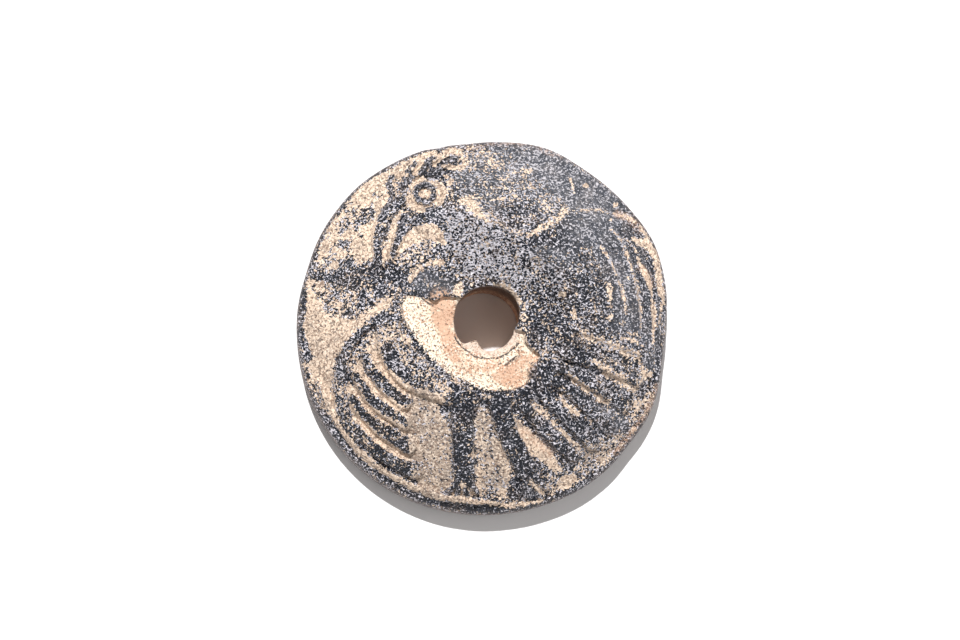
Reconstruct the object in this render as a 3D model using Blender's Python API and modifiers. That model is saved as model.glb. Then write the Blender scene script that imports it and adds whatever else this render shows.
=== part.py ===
"""Clay spindle whorl: a domed, moulded disc with a bird in low relief round its spindle bore.

The script builds one fired-clay solid in metres, with +Z up. The origin is the middle of the flat
underside, and +Y points towards the bird's head. The body is turned from a profile, then the bird,
the broken patch beside the bore and the worn outline are carved into its upper face. Lengths of the
body are real sizes, and the bird keeps its pose as shares of the whorl's radius.
"""
import math

import bpy
import numpy as np

# Sizes of the turned body, in metres
DIAMETER = 0.0400
HEIGHT = 0.00985
SIDE_HEIGHT = 0.0027
SHOULDER_WIDTH = 0.0010
SHOULDER_RISE = 0.0009
FOOT_ROUNDING = 0.0005
BORE_DIAMETER_BELOW = 0.0066
BORE_DIAMETER_ABOVE = 0.0072
BORE_LIP_WEAR = 0.0004

# Depths of the carving and of the damage, in metres
RELIEF_HEIGHT = 0.0006
CARVED_SLOPE = 0.0006
SPALL_DEPTH = 0.0006
SPALL_SLOPE = 0.0011

# How finely the solid is cut before its flat stretches are simplified
TURN_STEPS = 288
DOME_STEPS = 66
ARC_STEPS = 5
SIDE_STEPS = 3
CURVE_STEPS = 12
KEPT_SHARE = 0.198

COLLECTION_NAME = "clay_spindle_whorl"
NODE_NAME = "whorl"
CLAY_COLOUR = (0.115, 0.104, 0.104, 1.0)
CLAY_ROUGHNESS = 0.82

# The bird. Places are shares of the radius, and a path runs from a start through a bend to an end.
EYE_CENTRE = (-0.32, 0.695)
EYE_SOCKET_RADIUS = 0.095
EYE_RING_RADIUS = 0.058
PUPIL_RADIUS = 0.028

BODY_STROKES = (
    (((-0.27, 0.60), (-0.12, 0.44), (-0.02, 0.20)), (0.26, 0.40, 0.56)),
    (((0.00, 0.12), (0.10, -0.04), (0.16, -0.22)), (0.62, 0.62, 0.40)),
    (((0.30, -0.02), (0.46, -0.04), (0.60, -0.06)), (0.36, 0.18, 0.08)),
)
WING_STROKES = (
    (((0.20, 0.25), (0.56, 0.32), (0.74, 0.02)), (0.42, 0.60, 0.36)),
    (((0.74, 0.10), (0.84, -0.02), (0.84, -0.14)), (0.34, 0.24, 0.10)),
    (((-0.455, 0.045), (-0.71, -0.075), (-0.775, -0.46)), (0.065, 0.075, 0.045)),
    (((-0.525, -0.015), (-0.42, -0.24), (-0.095, -0.41)), (0.12, 0.19, 0.10)),
    (((-0.755, -0.46), (-0.715, -0.545), (-0.675, -0.605)), (0.045, 0.055, 0.040)),
)
LEG_STROKES = (
    (((-0.14, -0.395), (-0.13, -0.59), (-0.115, -0.785)), (0.115, 0.115, 0.105)),
    (((0.06, -0.425), (0.115, -0.59), (0.23, -0.785)), (0.105, 0.105, 0.105)),
)
BEAK_STROKES = (
    (((-0.455, 0.66), (-0.57, 0.495), (-0.555, 0.31)), (0.060, 0.068, 0.034)),
    (((-0.385, 0.58), (-0.45, 0.48), (-0.51, 0.34)), (0.050, 0.052, 0.030)),
)

# Feathers that spread evenly: their first, middle and last paths, their number and their widths
CREST_FAN = (
    ((-0.48, 0.805), (-0.50, 0.75), (-0.475, 0.675)),
    ((-0.305, 0.885), (-0.36, 0.835), (-0.41, 0.765)),
    ((-0.155, 0.90), (-0.23, 0.84), (-0.295, 0.79)),
)
CREST_COUNT = 4
CREST_WIDTHS = (0.030, 0.038, 0.038)
LEFT_WING_FAN = (
    ((-0.64, -0.14), (-0.565, -0.31), (-0.44, -0.43)),
    ((-0.72, -0.315), (-0.595, -0.472), (-0.422, -0.586)),
    ((-0.675, -0.555), (-0.535, -0.685), (-0.37, -0.77)),
)
LEFT_WING_COUNT = 4
LEFT_WING_WIDTHS = (0.045, 0.060, 0.052)
TAIL_FAN = (
    ((0.33, -0.155), (0.585, -0.20), (0.81, -0.285)),
    ((0.31, -0.275), (0.50, -0.40), (0.655, -0.54)),
    ((0.185, -0.425), (0.32, -0.57), (0.465, -0.69)),
)
TAIL_COUNT = 5
TAIL_WIDTHS = (0.060, 0.078, 0.072)

# Grooves that part the raised wing into feathers, and the one along its foot
WING_GROOVE_FAN = (
    ((0.53, 0.35), (0.585, 0.235), (0.635, 0.025)),
    ((0.705, 0.51), (0.81, 0.29), (0.825, -0.10)),
    ((0.83, 0.51), (0.92, 0.35), (0.965, 0.19)),
)
WING_GROOVE_COUNT = 5
WING_GROOVE_WIDTHS = (0.020, 0.034, 0.020)
WING_FOOT_GROOVE = ((0.46, -0.055), (0.625, -0.115), (0.82, -0.18))
WING_FOOT_WIDTHS = (0.022, 0.032, 0.026)
GROOVE_SHARE = 0.75

# Feet: where each leg ends and the way it points in degrees, with toes that fan out from there
FEET = ((-0.12, -0.79, -90.0), (0.235, -0.79, -78.0))
TOE_COUNT = 4
TOE_SPREAD = 38.0
TOE_LENGTH = 0.115
TOE_WIDTHS = (0.050, 0.034, 0.022)

# The raised border that is left along the lower left of the rim, between two bearings in degrees
BORDER_RADIUS = 0.935
BORDER_WIDTH = 0.035
BORDER_BEARINGS = (196.0, 278.0)

# The edge of the broken patch round the bore: bearings in degrees and shares of the radius
SPALL_EDGE = (
    (145.0, 0.21), (160.0, 0.47), (190.0, 0.395), (235.0, 0.318),
    (264.0, 0.327), (300.0, 0.352), (326.0, 0.300), (340.0, 0.18),
)

# Wear of the outline: bearing in degrees, spread in degrees, and how far it stands out or in, in metres
OUTLINE_WEAR = (
    (33.0, 16.0, 0.00035),
    (97.0, 9.0, -0.00030),
    (170.0, 12.0, -0.00015),
    (321.0, 5.0, -0.00022),
    (347.0, 14.0, -0.00045),
)
WEAR_STARTS = 0.90


def clear_scene():
    """Remove whatever objects the open file holds."""
    for thing in list(bpy.data.objects):
        bpy.data.objects.remove(thing, do_unlink=True)


def arc(centre, radius_x, radius_z, first, last, steps):
    """Points on a quarter of an ellipse in the profile's plane, between two angles in degrees."""
    points = []
    for i in range(steps + 1):
        angle = math.radians(first + (last - first) * i / steps)
        points.append((centre[0] + radius_x * math.cos(angle), centre[1] + radius_z * math.sin(angle)))
    return points


def dome_height(radius):
    """Height of the plain dome at a distance from the axis."""
    chord = DIAMETER / 2.0 - SHOULDER_WIDTH
    rise = HEIGHT - SIDE_HEIGHT - SHOULDER_RISE
    curvature = (chord ** 2 + rise ** 2) / (2.0 * rise)
    return HEIGHT - curvature + math.sqrt(curvature ** 2 - radius ** 2)


def body_profile():
    """Closed profile of the whorl at +X, from the lip of the bore outwards and down, then back."""
    radius = DIAMETER / 2.0
    shoulder = radius - SHOULDER_WIDTH
    lip = BORE_DIAMETER_ABOVE / 2.0 + BORE_LIP_WEAR
    points = []
    for i in range(DOME_STEPS + 1):
        along = lip + (shoulder - lip) * i / DOME_STEPS
        points.append((along, dome_height(along)))
    points += arc((shoulder, SIDE_HEIGHT), SHOULDER_WIDTH, SHOULDER_RISE, 75.0, 0.0, ARC_STEPS)
    for i in range(1, SIDE_STEPS):
        points.append((radius, SIDE_HEIGHT + (FOOT_ROUNDING - SIDE_HEIGHT) * i / SIDE_STEPS))
    points += arc((radius - FOOT_ROUNDING, FOOT_ROUNDING), FOOT_ROUNDING, FOOT_ROUNDING, 0.0, -90.0, ARC_STEPS)
    points.append((BORE_DIAMETER_BELOW / 2.0, 0.0))
    points.append((BORE_DIAMETER_ABOVE / 2.0, dome_height(lip) - BORE_LIP_WEAR))
    return points


def smooth(value):
    """Ease a value from 0 to 1."""
    value = np.clip(value, 0.0, 1.0)
    return value * value * (3.0 - 2.0 * value)


def carved_slope():
    """Width of a carved side as a share of the radius."""
    return CARVED_SLOPE / (DIAMETER / 2.0)


def path_points(path):
    """Points on the smooth curve from a path's start through its bend to its end."""
    start, bend, end = (np.array(point) for point in path)
    share = np.linspace(0.0, 1.0, CURVE_STEPS + 1)[:, None]
    pull = 2.0 * bend - (start + end) / 2.0
    return (1.0 - share) ** 2 * start + 2.0 * share * (1.0 - share) * pull + share ** 2 * end


def stroke(x, y, path, widths):
    """1 on a stroke along path and 0 beside it, with the widths at its start, bend and end."""
    points = path_points(path)
    half = np.interp(np.linspace(0.0, 1.0, len(points)), (0.0, 0.5, 1.0), widths) / 2.0
    depth = np.full(x.shape, -1.0)
    for i in range(CURVE_STEPS):
        ax, ay = points[i]
        dx, dy = points[i + 1] - points[i]
        share = np.clip(((x - ax) * dx + (y - ay) * dy) / (dx * dx + dy * dy), 0.0, 1.0)
        reach = half[i] + (half[i + 1] - half[i]) * share
        depth = np.maximum(depth, reach - np.hypot(x - ax - share * dx, y - ay - share * dy))
    return smooth(depth / carved_slope() + 0.5)


def disc(x, y, centre, radius):
    """1 inside a round boss and 0 outside it."""
    depth = radius - np.hypot(x - centre[0], y - centre[1])
    return smooth(depth / carved_slope() + 0.5)


def fan(first, middle, last, count):
    """Paths that spread evenly from the first through the middle to the last."""
    paths = []
    for i in range(count):
        t = i / (count - 1)
        weights = ((1.0 - t) * (1.0 - 2.0 * t), 4.0 * t * (1.0 - t), t * (2.0 * t - 1.0))
        path = []
        for trio in zip(first, middle, last):
            path.append(tuple(sum(w * point[axis] for w, point in zip(weights, trio)) for axis in (0, 1)))
        paths.append(tuple(path))
    return paths


def toes(foot):
    """Paths of the toes that fan out from one foot."""
    x, y, heading = foot
    paths = []
    for i in range(TOE_COUNT):
        bearing = math.radians(heading + TOE_SPREAD * (2.0 * i / (TOE_COUNT - 1) - 1.0))
        tip = (x + TOE_LENGTH * math.cos(bearing), y + TOE_LENGTH * math.sin(bearing))
        bend = ((x + tip[0]) / 2.0, (y + tip[1]) / 2.0)
        paths.append(((x, y), bend, tip))
    return paths


def raised_strokes():
    """Every raised stroke of the bird, as a path with its widths."""
    strokes = list(BODY_STROKES + WING_STROKES + LEG_STROKES + BEAK_STROKES)
    strokes += [(path, CREST_WIDTHS) for path in fan(*CREST_FAN, CREST_COUNT)]
    strokes += [(path, LEFT_WING_WIDTHS) for path in fan(*LEFT_WING_FAN, LEFT_WING_COUNT)]
    strokes += [(path, TAIL_WIDTHS) for path in fan(*TAIL_FAN, TAIL_COUNT)]
    for foot in FEET:
        strokes += [(path, TOE_WIDTHS) for path in toes(foot)]
    return strokes


def grooves():
    """Every groove that is cut back into the bird, as a path with its widths."""
    cuts = [(path, WING_GROOVE_WIDTHS) for path in fan(*WING_GROOVE_FAN, WING_GROOVE_COUNT)]
    cuts.append((WING_FOOT_GROOVE, WING_FOOT_WIDTHS))
    return cuts


def rim_border(radius, bearing):
    """1 on the stretch of raised border along the rim."""
    across = (BORDER_WIDTH / 2.0 - np.abs(radius - BORDER_RADIUS)) / carved_slope() + 0.5
    first, last = BORDER_BEARINGS
    ends = np.minimum(bearing - first, last - bearing) / 4.0
    return smooth(across) * smooth(ends)


def relief(x, y):
    """Height of the carving, from 0 on the ground to 1 on the bird, at shares of the radius."""
    height = np.zeros(x.shape)
    for path, widths in raised_strokes():
        height = np.maximum(height, stroke(x, y, path, widths))
    height = height * (1.0 - disc(x, y, EYE_CENTRE, EYE_SOCKET_RADIUS))
    ring = disc(x, y, EYE_CENTRE, EYE_RING_RADIUS) * (1.0 - disc(x, y, EYE_CENTRE, PUPIL_RADIUS))
    height = np.maximum(height, ring)
    for path, widths in grooves():
        height = height * (1.0 - GROOVE_SHARE * stroke(x, y, path, widths))
    bearing = np.degrees(np.arctan2(y, x)) % 360.0
    return np.maximum(height, rim_border(np.hypot(x, y), bearing))


def spall(x, y):
    """1 on the broken patch beside the bore and 0 beyond its edge."""
    bearing = np.degrees(np.arctan2(y, x)) % 360.0
    bearings, shares = zip(*SPALL_EDGE)
    edge = np.interp(bearing, bearings, shares, left=0.0, right=0.0)
    slope = SPALL_SLOPE / (DIAMETER / 2.0)
    return smooth((edge - np.hypot(x, y)) / slope + 0.5)


def outline_wear(bearing):
    """How far the worn outline stands out or in at a bearing in degrees."""
    shift = np.zeros(bearing.shape)
    for centre, spread, depth in OUTLINE_WEAR:
        away = (bearing - centre + 180.0) % 360.0 - 180.0
        shift += depth * np.exp(-(away / spread) ** 2)
    return shift


def carve(mesh):
    """Move the turned body's points: the bird on its dome, the broken patch and the worn outline."""
    points = np.empty(len(mesh.vertices) * 3)
    mesh.vertices.foreach_get("co", points)
    points = points.reshape(-1, 3)
    radius = DIAMETER / 2.0
    x, y = points[:, 0] / radius, points[:, 1] / radius
    share = np.hypot(x, y)
    # The carving starts where the dome does, and dies away on the lip of the bore and on the shoulder
    on_dome = points[:, 2] > SIDE_HEIGHT + SHOULDER_RISE / 2.0
    bore_share = BORE_DIAMETER_ABOVE / DIAMETER
    inner = smooth((share - bore_share) / (BORE_LIP_WEAR / radius))
    outer = smooth((1.0 - share) / (SHOULDER_WIDTH / radius))
    broken = spall(x, y)
    lift = RELIEF_HEIGHT * relief(x, y) * (1.0 - broken) - SPALL_DEPTH * broken
    points[:, 2] += np.where(on_dome, lift * inner * outer, 0.0)
    # The outline is worn from the shoulder down to the foot, and the bore stays round
    bearing = np.degrees(np.arctan2(y, x)) % 360.0
    reach = smooth((share - WEAR_STARTS) / (1.0 - WEAR_STARTS)) * outline_wear(bearing)
    stretch = 1.0 + reach / np.maximum(np.hypot(points[:, 0], points[:, 1]), BORE_DIAMETER_BELOW / 2.0)
    points[:, :2] *= stretch[:, None]
    mesh.vertices.foreach_set("co", points.ravel())
    mesh.update()


def turned_body():
    """Mesh of the plain body, turned from its profile."""
    points = body_profile()
    profile = bpy.data.meshes.new("profile")
    edges = [(i, (i + 1) % len(points)) for i in range(len(points))]
    profile.from_pydata([(x, 0.0, z) for x, z in points], edges, [])
    blank = bpy.data.objects.new("blank", profile)
    bpy.context.scene.collection.objects.link(blank)
    screw = blank.modifiers.new("Turn", "SCREW")
    screw.axis = "Z"
    screw.steps = TURN_STEPS
    screw.render_steps = TURN_STEPS
    screw.use_merge_vertices = True
    screw.merge_threshold = 1e-6
    evaluated = blank.evaluated_get(bpy.context.evaluated_depsgraph_get())
    mesh = bpy.data.meshes.new_from_object(evaluated)
    bpy.data.objects.remove(blank, do_unlink=True)
    mesh.name = NODE_NAME
    return mesh


def clay():
    """Dark-slipped fired clay, matt and dusty."""
    material = bpy.data.materials.new("fired_clay")
    material.use_nodes = True
    shader = material.node_tree.nodes["Principled BSDF"]
    shader.inputs["Base Color"].default_value = CLAY_COLOUR
    shader.inputs["Roughness"].default_value = CLAY_ROUGHNESS
    shader.inputs["Metallic"].default_value = 0.0
    material.diffuse_color = CLAY_COLOUR
    return material


def make_whorl(collection):
    """Turn the body, carve it and simplify its flat stretches."""
    mesh = turned_body()
    carve(mesh)
    mesh.materials.append(clay())
    mesh.shade_smooth()
    mesh.set_sharp_from_angle(angle=math.radians(50.0))
    whorl = bpy.data.objects.new(NODE_NAME, mesh)
    collection.objects.link(whorl)
    simplify = whorl.modifiers.new("Simplify", "DECIMATE")
    simplify.decimate_type = "COLLAPSE"
    simplify.ratio = KEPT_SHARE
    return whorl


def main():
    """Build the whorl in a collection of its own."""
    clear_scene()
    collection = bpy.data.collections.new(COLLECTION_NAME)
    bpy.context.scene.collection.children.link(collection)
    make_whorl(collection)


main()
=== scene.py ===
"""Clay spindle whorl: the finished look of the moulded, dark-slipped whorl with a bird in low relief.

One skin is turned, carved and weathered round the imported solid, then dressed as slip, sediment and
bare clay. Places on the bird are shares of the whorl's radius, lengths are metres, bearings are
degrees from +X towards +Y, and the photograph's top is +Y.
"""

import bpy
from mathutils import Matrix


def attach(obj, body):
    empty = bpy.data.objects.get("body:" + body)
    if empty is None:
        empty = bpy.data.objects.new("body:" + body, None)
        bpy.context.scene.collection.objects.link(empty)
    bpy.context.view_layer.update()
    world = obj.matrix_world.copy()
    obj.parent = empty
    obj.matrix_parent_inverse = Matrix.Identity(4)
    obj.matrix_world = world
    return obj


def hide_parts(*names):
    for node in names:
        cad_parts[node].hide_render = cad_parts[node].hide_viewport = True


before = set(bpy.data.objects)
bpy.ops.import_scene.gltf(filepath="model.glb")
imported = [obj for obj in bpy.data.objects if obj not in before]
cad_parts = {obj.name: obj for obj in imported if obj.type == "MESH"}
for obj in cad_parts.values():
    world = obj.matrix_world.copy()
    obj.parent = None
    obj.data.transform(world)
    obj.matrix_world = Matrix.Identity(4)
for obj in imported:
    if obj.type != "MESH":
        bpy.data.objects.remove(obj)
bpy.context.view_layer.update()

import logging
import math
from dataclasses import dataclass
from enum import Enum

import bpy
import numpy as np
from mathutils import Matrix, Vector

logging.basicConfig(level=logging.INFO, format="%(levelname)s %(message)s")
LOG = logging.getLogger("whorl")

NODE = "whorl"
BODY = "root"
MILLIMETRE = 0.001

Point = tuple[float, float]
Path = tuple[Point, Point, Point]
Widths = tuple[float, float, float]
Colour = tuple[float, float, float]
Socket = bpy.types.NodeSocket


class Channel(Enum):
    """What a patch changes on the upper face, each kept as a point attribute of the skin."""

    COVER = "cover"
    CREAM = "cream"
    FLUSH = "flush"
    # A blue-grey veil over the slip: painted sheen over the north-east, a plain grey tone on the side wall
    # and neck.
    HAZE_AND_SHEEN = "haze_and_sheen"
    # Real pale scuffs on the slip together with painted glints, specks of painted highlight.
    SCUFF_AND_GLINT = "scuff_and_glint"
    CRACKLE = "crackle"


def smooth(value: np.ndarray) -> np.ndarray:
    """Ease values from 0 to 1."""
    value = np.clip(value, 0.0, 1.0)
    return value * value * (3.0 - 2.0 * value)


@dataclass(frozen=True)
class Stroke:
    """A stroke along a smooth path with a width at its start, bend and end."""

    path: Path
    widths: Widths

    def points(self, steps: int = 12) -> np.ndarray:
        """Points on the stroke's middle line.

        Args:
            steps: How many straight pieces stand for the curve.

        Returns:
            An array of steps + 1 points.
        """
        start, bend, end = (np.array(point, float) for point in self.path)
        share = np.linspace(0.0, 1.0, steps + 1)[:, None]
        pull = 2.0 * bend - (start + end) / 2.0
        return (1.0 - share) ** 2 * start + 2.0 * share * (1.0 - share) * pull + share ** 2 * end

    def half_widths(self, steps: int = 12) -> np.ndarray:
        """Half the stroke's width at each of its points."""
        return np.interp(np.linspace(0.0, 1.0, steps + 1), (0.0, 0.5, 1.0), self.widths) / 2.0

    def moved(self, x: float, y: float, thin: float) -> "Stroke":
        """The same stroke moved aside and made thinner.

        Args:
            x: The move along X.
            y: The move along Y.
            thin: The share of its widths that it keeps.

        Returns:
            The new stroke.
        """
        path = tuple((px + x, py + y) for px, py in self.path)
        return Stroke(path, tuple(thin * width for width in self.widths))


def place(name: str, data: bpy.types.ID) -> bpy.types.Object:
    """Put a new object into the scene.

    Args:
        name: The object's name.
        data: Its mesh, curve, light or camera.

    Returns:
        The object.
    """
    thing = bpy.data.objects.new(name, data)
    bpy.context.scene.collection.objects.link(thing)
    return thing


def line(start: Point, bend: Point, end: Point, *widths: float) -> Stroke:
    """A stroke whose last width is repeated where fewer than three are given."""
    return Stroke((start, bend, end), widths + widths[-1:] * (3 - len(widths)))


def dab(x: float, y: float, size: float) -> Stroke:
    """A round stroke of one size in one place."""
    return Stroke(((x, y), (x, y), (x, y)), (size, size, size))


@dataclass(frozen=True)
class Fan:
    """Strokes that spread evenly from a first through a middle to a last path."""

    first: Path
    middle: Path
    last: Path
    count: int
    widths: Widths

    def strokes(self, between: bool = False) -> list[Stroke]:
        """Every stroke of the fan, or one midway in every gap.

        Args:
            between: Whether the strokes lie in the gaps.

        Returns:
            The strokes, from the first path to the last.
        """
        out = []
        for index in range(self.count - between):
            t = (index + 0.5 * between) / (self.count - 1)
            weights = ((1.0 - t) * (1.0 - 2.0 * t), 4.0 * t * (1.0 - t), t * (2.0 * t - 1.0))
            path = tuple(
                tuple(sum(share * point[axis] for share, point in zip(weights, trio)) for axis in (0, 1))
                for trio in zip(self.first, self.middle, self.last))
            out.append(Stroke(path, self.widths))
        return out


@dataclass(frozen=True)
class Patch:
    """A stroke that pulls one channel towards a value, with a soft edge."""

    channel: Channel
    value: float
    stroke: Stroke
    soft: float


class Face:
    """The skin's points in shares of the radius, as strokes and rings are laid on them."""

    WAVES = (7.0, 11.0, 17.0, 26.0, 41.0)
    WAVES_REACH = 2.2
    ARC_END = 5.0

    def __init__(self, x: np.ndarray, y: np.ndarray) -> None:
        """Keep the points' places and bearings.

        Args:
            x: The points' places to the right, in shares of the radius.
            y: Their places to the back, in shares of the radius.
        """
        self.x = x
        self.y = y
        self.share = np.hypot(x, y)
        self.bearing = np.degrees(np.arctan2(y, x)) % 360.0

    def wobbled(self, size: float) -> "Face":
        """The same points pushed about a little, so that every edge laid on them wavers.

        Args:
            size: The largest push, as a share of the radius.

        Returns:
            The face with moved points.
        """
        push = np.zeros((2, *self.x.shape))
        for index, turns in enumerate(self.WAVES):
            for axis in (0, 1):
                lean = 1.3 * index + 2.1 * axis
                along = self.x * math.cos(lean) + self.y * math.sin(lean)
                across = self.y * math.cos(lean) - self.x * math.sin(lean)
                bend = 4.0 * np.sin(3.1 * across + index)
                push[axis] += np.sin(turns * along * math.pi + bend) / (1.0 + 0.4 * index)
        return Face(self.x + size * push[0] / self.WAVES_REACH, self.y + size * push[1] / self.WAVES_REACH)

    def stroke(self, stroke: Stroke, soft: float) -> np.ndarray:
        """How far each point lies on a stroke.

        Args:
            stroke: The stroke to lay down.
            soft: The width of its edge, as a share of the radius.

        Returns:
            1 on the stroke, 0 beside it, and between them over its edge.
        """
        points = stroke.points()
        half = stroke.half_widths()
        reach = half.max() + soft
        low, high = points.min(axis=0) - reach, points.max(axis=0) + reach
        near = (self.x > low[0]) & (self.x < high[0]) & (self.y > low[1]) & (self.y < high[1])
        x, y = self.x[near], self.y[near]
        depth = np.full(x.shape, -9.0)
        for (ax, ay), (bx, by), start, end in zip(points[:-1], points[1:], half[:-1], half[1:]):
            dx, dy = bx - ax, by - ay
            span = max(dx * dx + dy * dy, 1e-12)
            share = np.clip(((x - ax) * dx + (y - ay) * dy) / span, 0.0, 1.0)
            away = np.hypot(x - ax - share * dx, y - ay - share * dy)
            depth = np.maximum(depth, start + (end - start) * share - away)
        out = np.zeros(self.x.shape)
        out[near] = smooth(depth / soft + 0.5)
        return out

    def ring(self, centre: Point, radius: float, soft: float) -> np.ndarray:
        """1 inside a circle and 0 outside it."""
        away = np.hypot(self.x - centre[0], self.y - centre[1])
        return smooth((radius - away) / soft + 0.5)

    def arc(self, radius: float | np.ndarray, width: float, bearings: Point, soft: float) -> np.ndarray:
        """How far each point lies on a band round the middle.

        Args:
            radius: The radius of the band's middle line.
            width: The band's width.
            bearings: Where it starts and ends, in degrees.
            soft: The width of its edge.

        Returns:
            1 on the band and 0 off it.
        """
        across = (width / 2.0 - np.abs(self.share - radius)) / soft + 0.5
        middle = (bearings[0] + bearings[1]) / 2.0
        half = (bearings[1] - bearings[0]) / 2.0
        away = np.abs((self.bearing - middle + 180.0) % 360.0 - 180.0)
        return smooth(across) * smooth((half - away) / self.ARC_END)


@dataclass(frozen=True)
class TurnedBody:
    """The plain body of the whorl, turned from one closed profile."""

    radius: float = 19.97 * MILLIMETRE
    height: float = 9.75 * MILLIMETRE
    side_height: float = 2.7 * MILLIMETRE
    shoulder_width: float = 1.0 * MILLIMETRE
    shoulder_rise: float = 0.9 * MILLIMETRE
    foot_rounding: float = 0.5 * MILLIMETRE
    bore_radius: float = 3.5 * MILLIMETRE
    lip_wear: float = 0.25 * MILLIMETRE
    around: int = 588
    across: int = 128
    arc_steps: int = 6
    shoulder_start: float = 78.0
    side_steps: int = 5
    foot_steps: int = 7
    bore_steps: int = 13

    def dome_height(self, radius: np.ndarray | float) -> np.ndarray | float:
        """Height of the plain dome.

        Args:
            radius: The distance from the axis.

        Returns:
            The height there.
        """
        chord = self.radius - self.shoulder_width
        rise = self.height - self.side_height - self.shoulder_rise
        curvature = (chord ** 2 + rise ** 2) / (2.0 * rise)
        return self.height - curvature + np.sqrt(curvature ** 2 - np.minimum(radius, chord) ** 2)

    def profile(self) -> list[Point]:
        """The closed profile, from the bore's lip outwards.

        Returns:
            Distances from the axis with their heights.
        """
        lip = self.bore_radius + self.lip_wear
        shoulder = self.radius - self.shoulder_width
        points = []
        for radius in np.linspace(lip, shoulder, self.across + 1):
            points.append((float(radius), float(self.dome_height(radius))))
        for angle in np.radians(np.linspace(self.shoulder_start, 0.0, self.arc_steps + 1)):
            points.append((shoulder + self.shoulder_width * math.cos(angle),
                           self.side_height + self.shoulder_rise * math.sin(angle)))
        for share in np.linspace(0.0, 1.0, self.side_steps + 1)[1:-1]:
            points.append((self.radius, self.side_height + (self.foot_rounding - self.side_height) * share))
        for angle in np.radians(np.linspace(0.0, -90.0, self.arc_steps)):
            points.append((self.radius - self.foot_rounding * (1.0 - math.cos(angle)),
                           self.foot_rounding * (1.0 + math.sin(angle))))
        flat = self.radius - self.foot_rounding
        for share in np.linspace(0.0, 1.0, self.foot_steps + 1)[1:]:
            points.append((flat - share * (flat - self.bore_radius), 0.0))
        top = float(self.dome_height(lip)) - self.lip_wear
        for share in np.linspace(0.0, 1.0, self.bore_steps + 1)[1:]:
            points.append((self.bore_radius, share * top))
        middle = self.lip_wear * (1.0 - math.sqrt(0.5))
        points.append((self.bore_radius + middle, top + self.lip_wear - middle))
        return points

    def turn(self) -> bpy.types.Mesh:
        """Turn the profile round the axis.

        Returns:
            The closed mesh of the plain body.
        """
        curve = bpy.data.curves.new("whorl_profile", "CURVE")
        curve.dimensions = "3D"
        points = self.profile()
        spline = curve.splines.new("POLY")
        spline.points.add(len(points) - 1)
        for point, (radius, height) in zip(spline.points, points):
            point.co = (radius - self.radius, -height, 0.0, 1.0)
        spline.use_cyclic_u = True
        blank = place("whorl_blank", curve)
        tree = TreeMaker("turned_body")
        circle = tree.node("GeometryNodeCurvePrimitiveCircle", Radius=tree.given_value("Radius", self.radius),
                           Resolution=tree.given_value("Around", self.around))
        swept = tree.node("GeometryNodeCurveToMesh", circle.outputs["Curve"], tree.geometry)
        mesh = tree.run(blank, swept.outputs["Mesh"], None)
        bpy.data.objects.remove(blank, do_unlink=True)
        return mesh


class NodeMaker:
    """A node tree, written as nodes and sums of sockets."""

    def __init__(self, tree: bpy.types.NodeTree) -> None:
        """Keep the tree."""
        self.tree = tree

    def put(self, socket: Socket, value: object) -> None:
        """Link a socket or set its value.

        Args:
            socket: The input.
            value: A node's output, or a plain value.
        """
        if isinstance(value, bpy.types.NodeSocket):
            self.tree.links.new(value, socket)
        elif socket.type == "RGBA":
            socket.default_value = (*value, 1.0)
        else:
            socket.default_value = value

    def node(self, kind: str, *values: object, **named: object) -> bpy.types.Node:
        """Add a node and fill its inputs.

        Args:
            kind: The node's type.
            values: Values or sockets of its first inputs.
            named: Values or sockets by input name, with _ for a space.

        Returns:
            The new node.
        """
        node = self.tree.nodes.new(kind)
        for socket, value in zip(node.inputs, values):
            self.put(socket, value)
        for name, value in named.items():
            self.put(node.inputs[name.replace("_", " ")], value)
        return node

    def math(self, operation: str, *values: object, clamp: bool = False) -> Socket:
        """Add a sum of numbers or sockets.

        Args:
            operation: What the sum does.
            values: Its one or two values.
            clamp: Whether the result is held between 0 and 1.

        Returns:
            The result's socket.
        """
        node = self.node("ShaderNodeMath", *values)
        node.operation = operation
        node.use_clamp = clamp
        return node.outputs[0]

    def times(self, first: object, second: object) -> Socket:
        """The product of two values."""
        return self.math("MULTIPLY", first, second)

    def minus(self, first: object, second: object) -> Socket:
        """The first value less the second."""
        return self.math("SUBTRACT", first, second)

    def total(self, *terms: tuple[object, float], clamp: bool = False) -> Socket:
        """A weighted sum.

        Args:
            terms: The values, each with its weight.
            clamp: Whether the last sum is held between 0 and 1.

        Returns:
            The sum's socket.
        """
        parts = [value if weight == 1.0 else self.times(value, weight) for value, weight in terms]
        result = parts[0]
        for index, part in enumerate(parts[1:], 2):
            result = self.math("ADD", result, part, clamp=clamp and index == len(parts))
        return result


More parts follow.
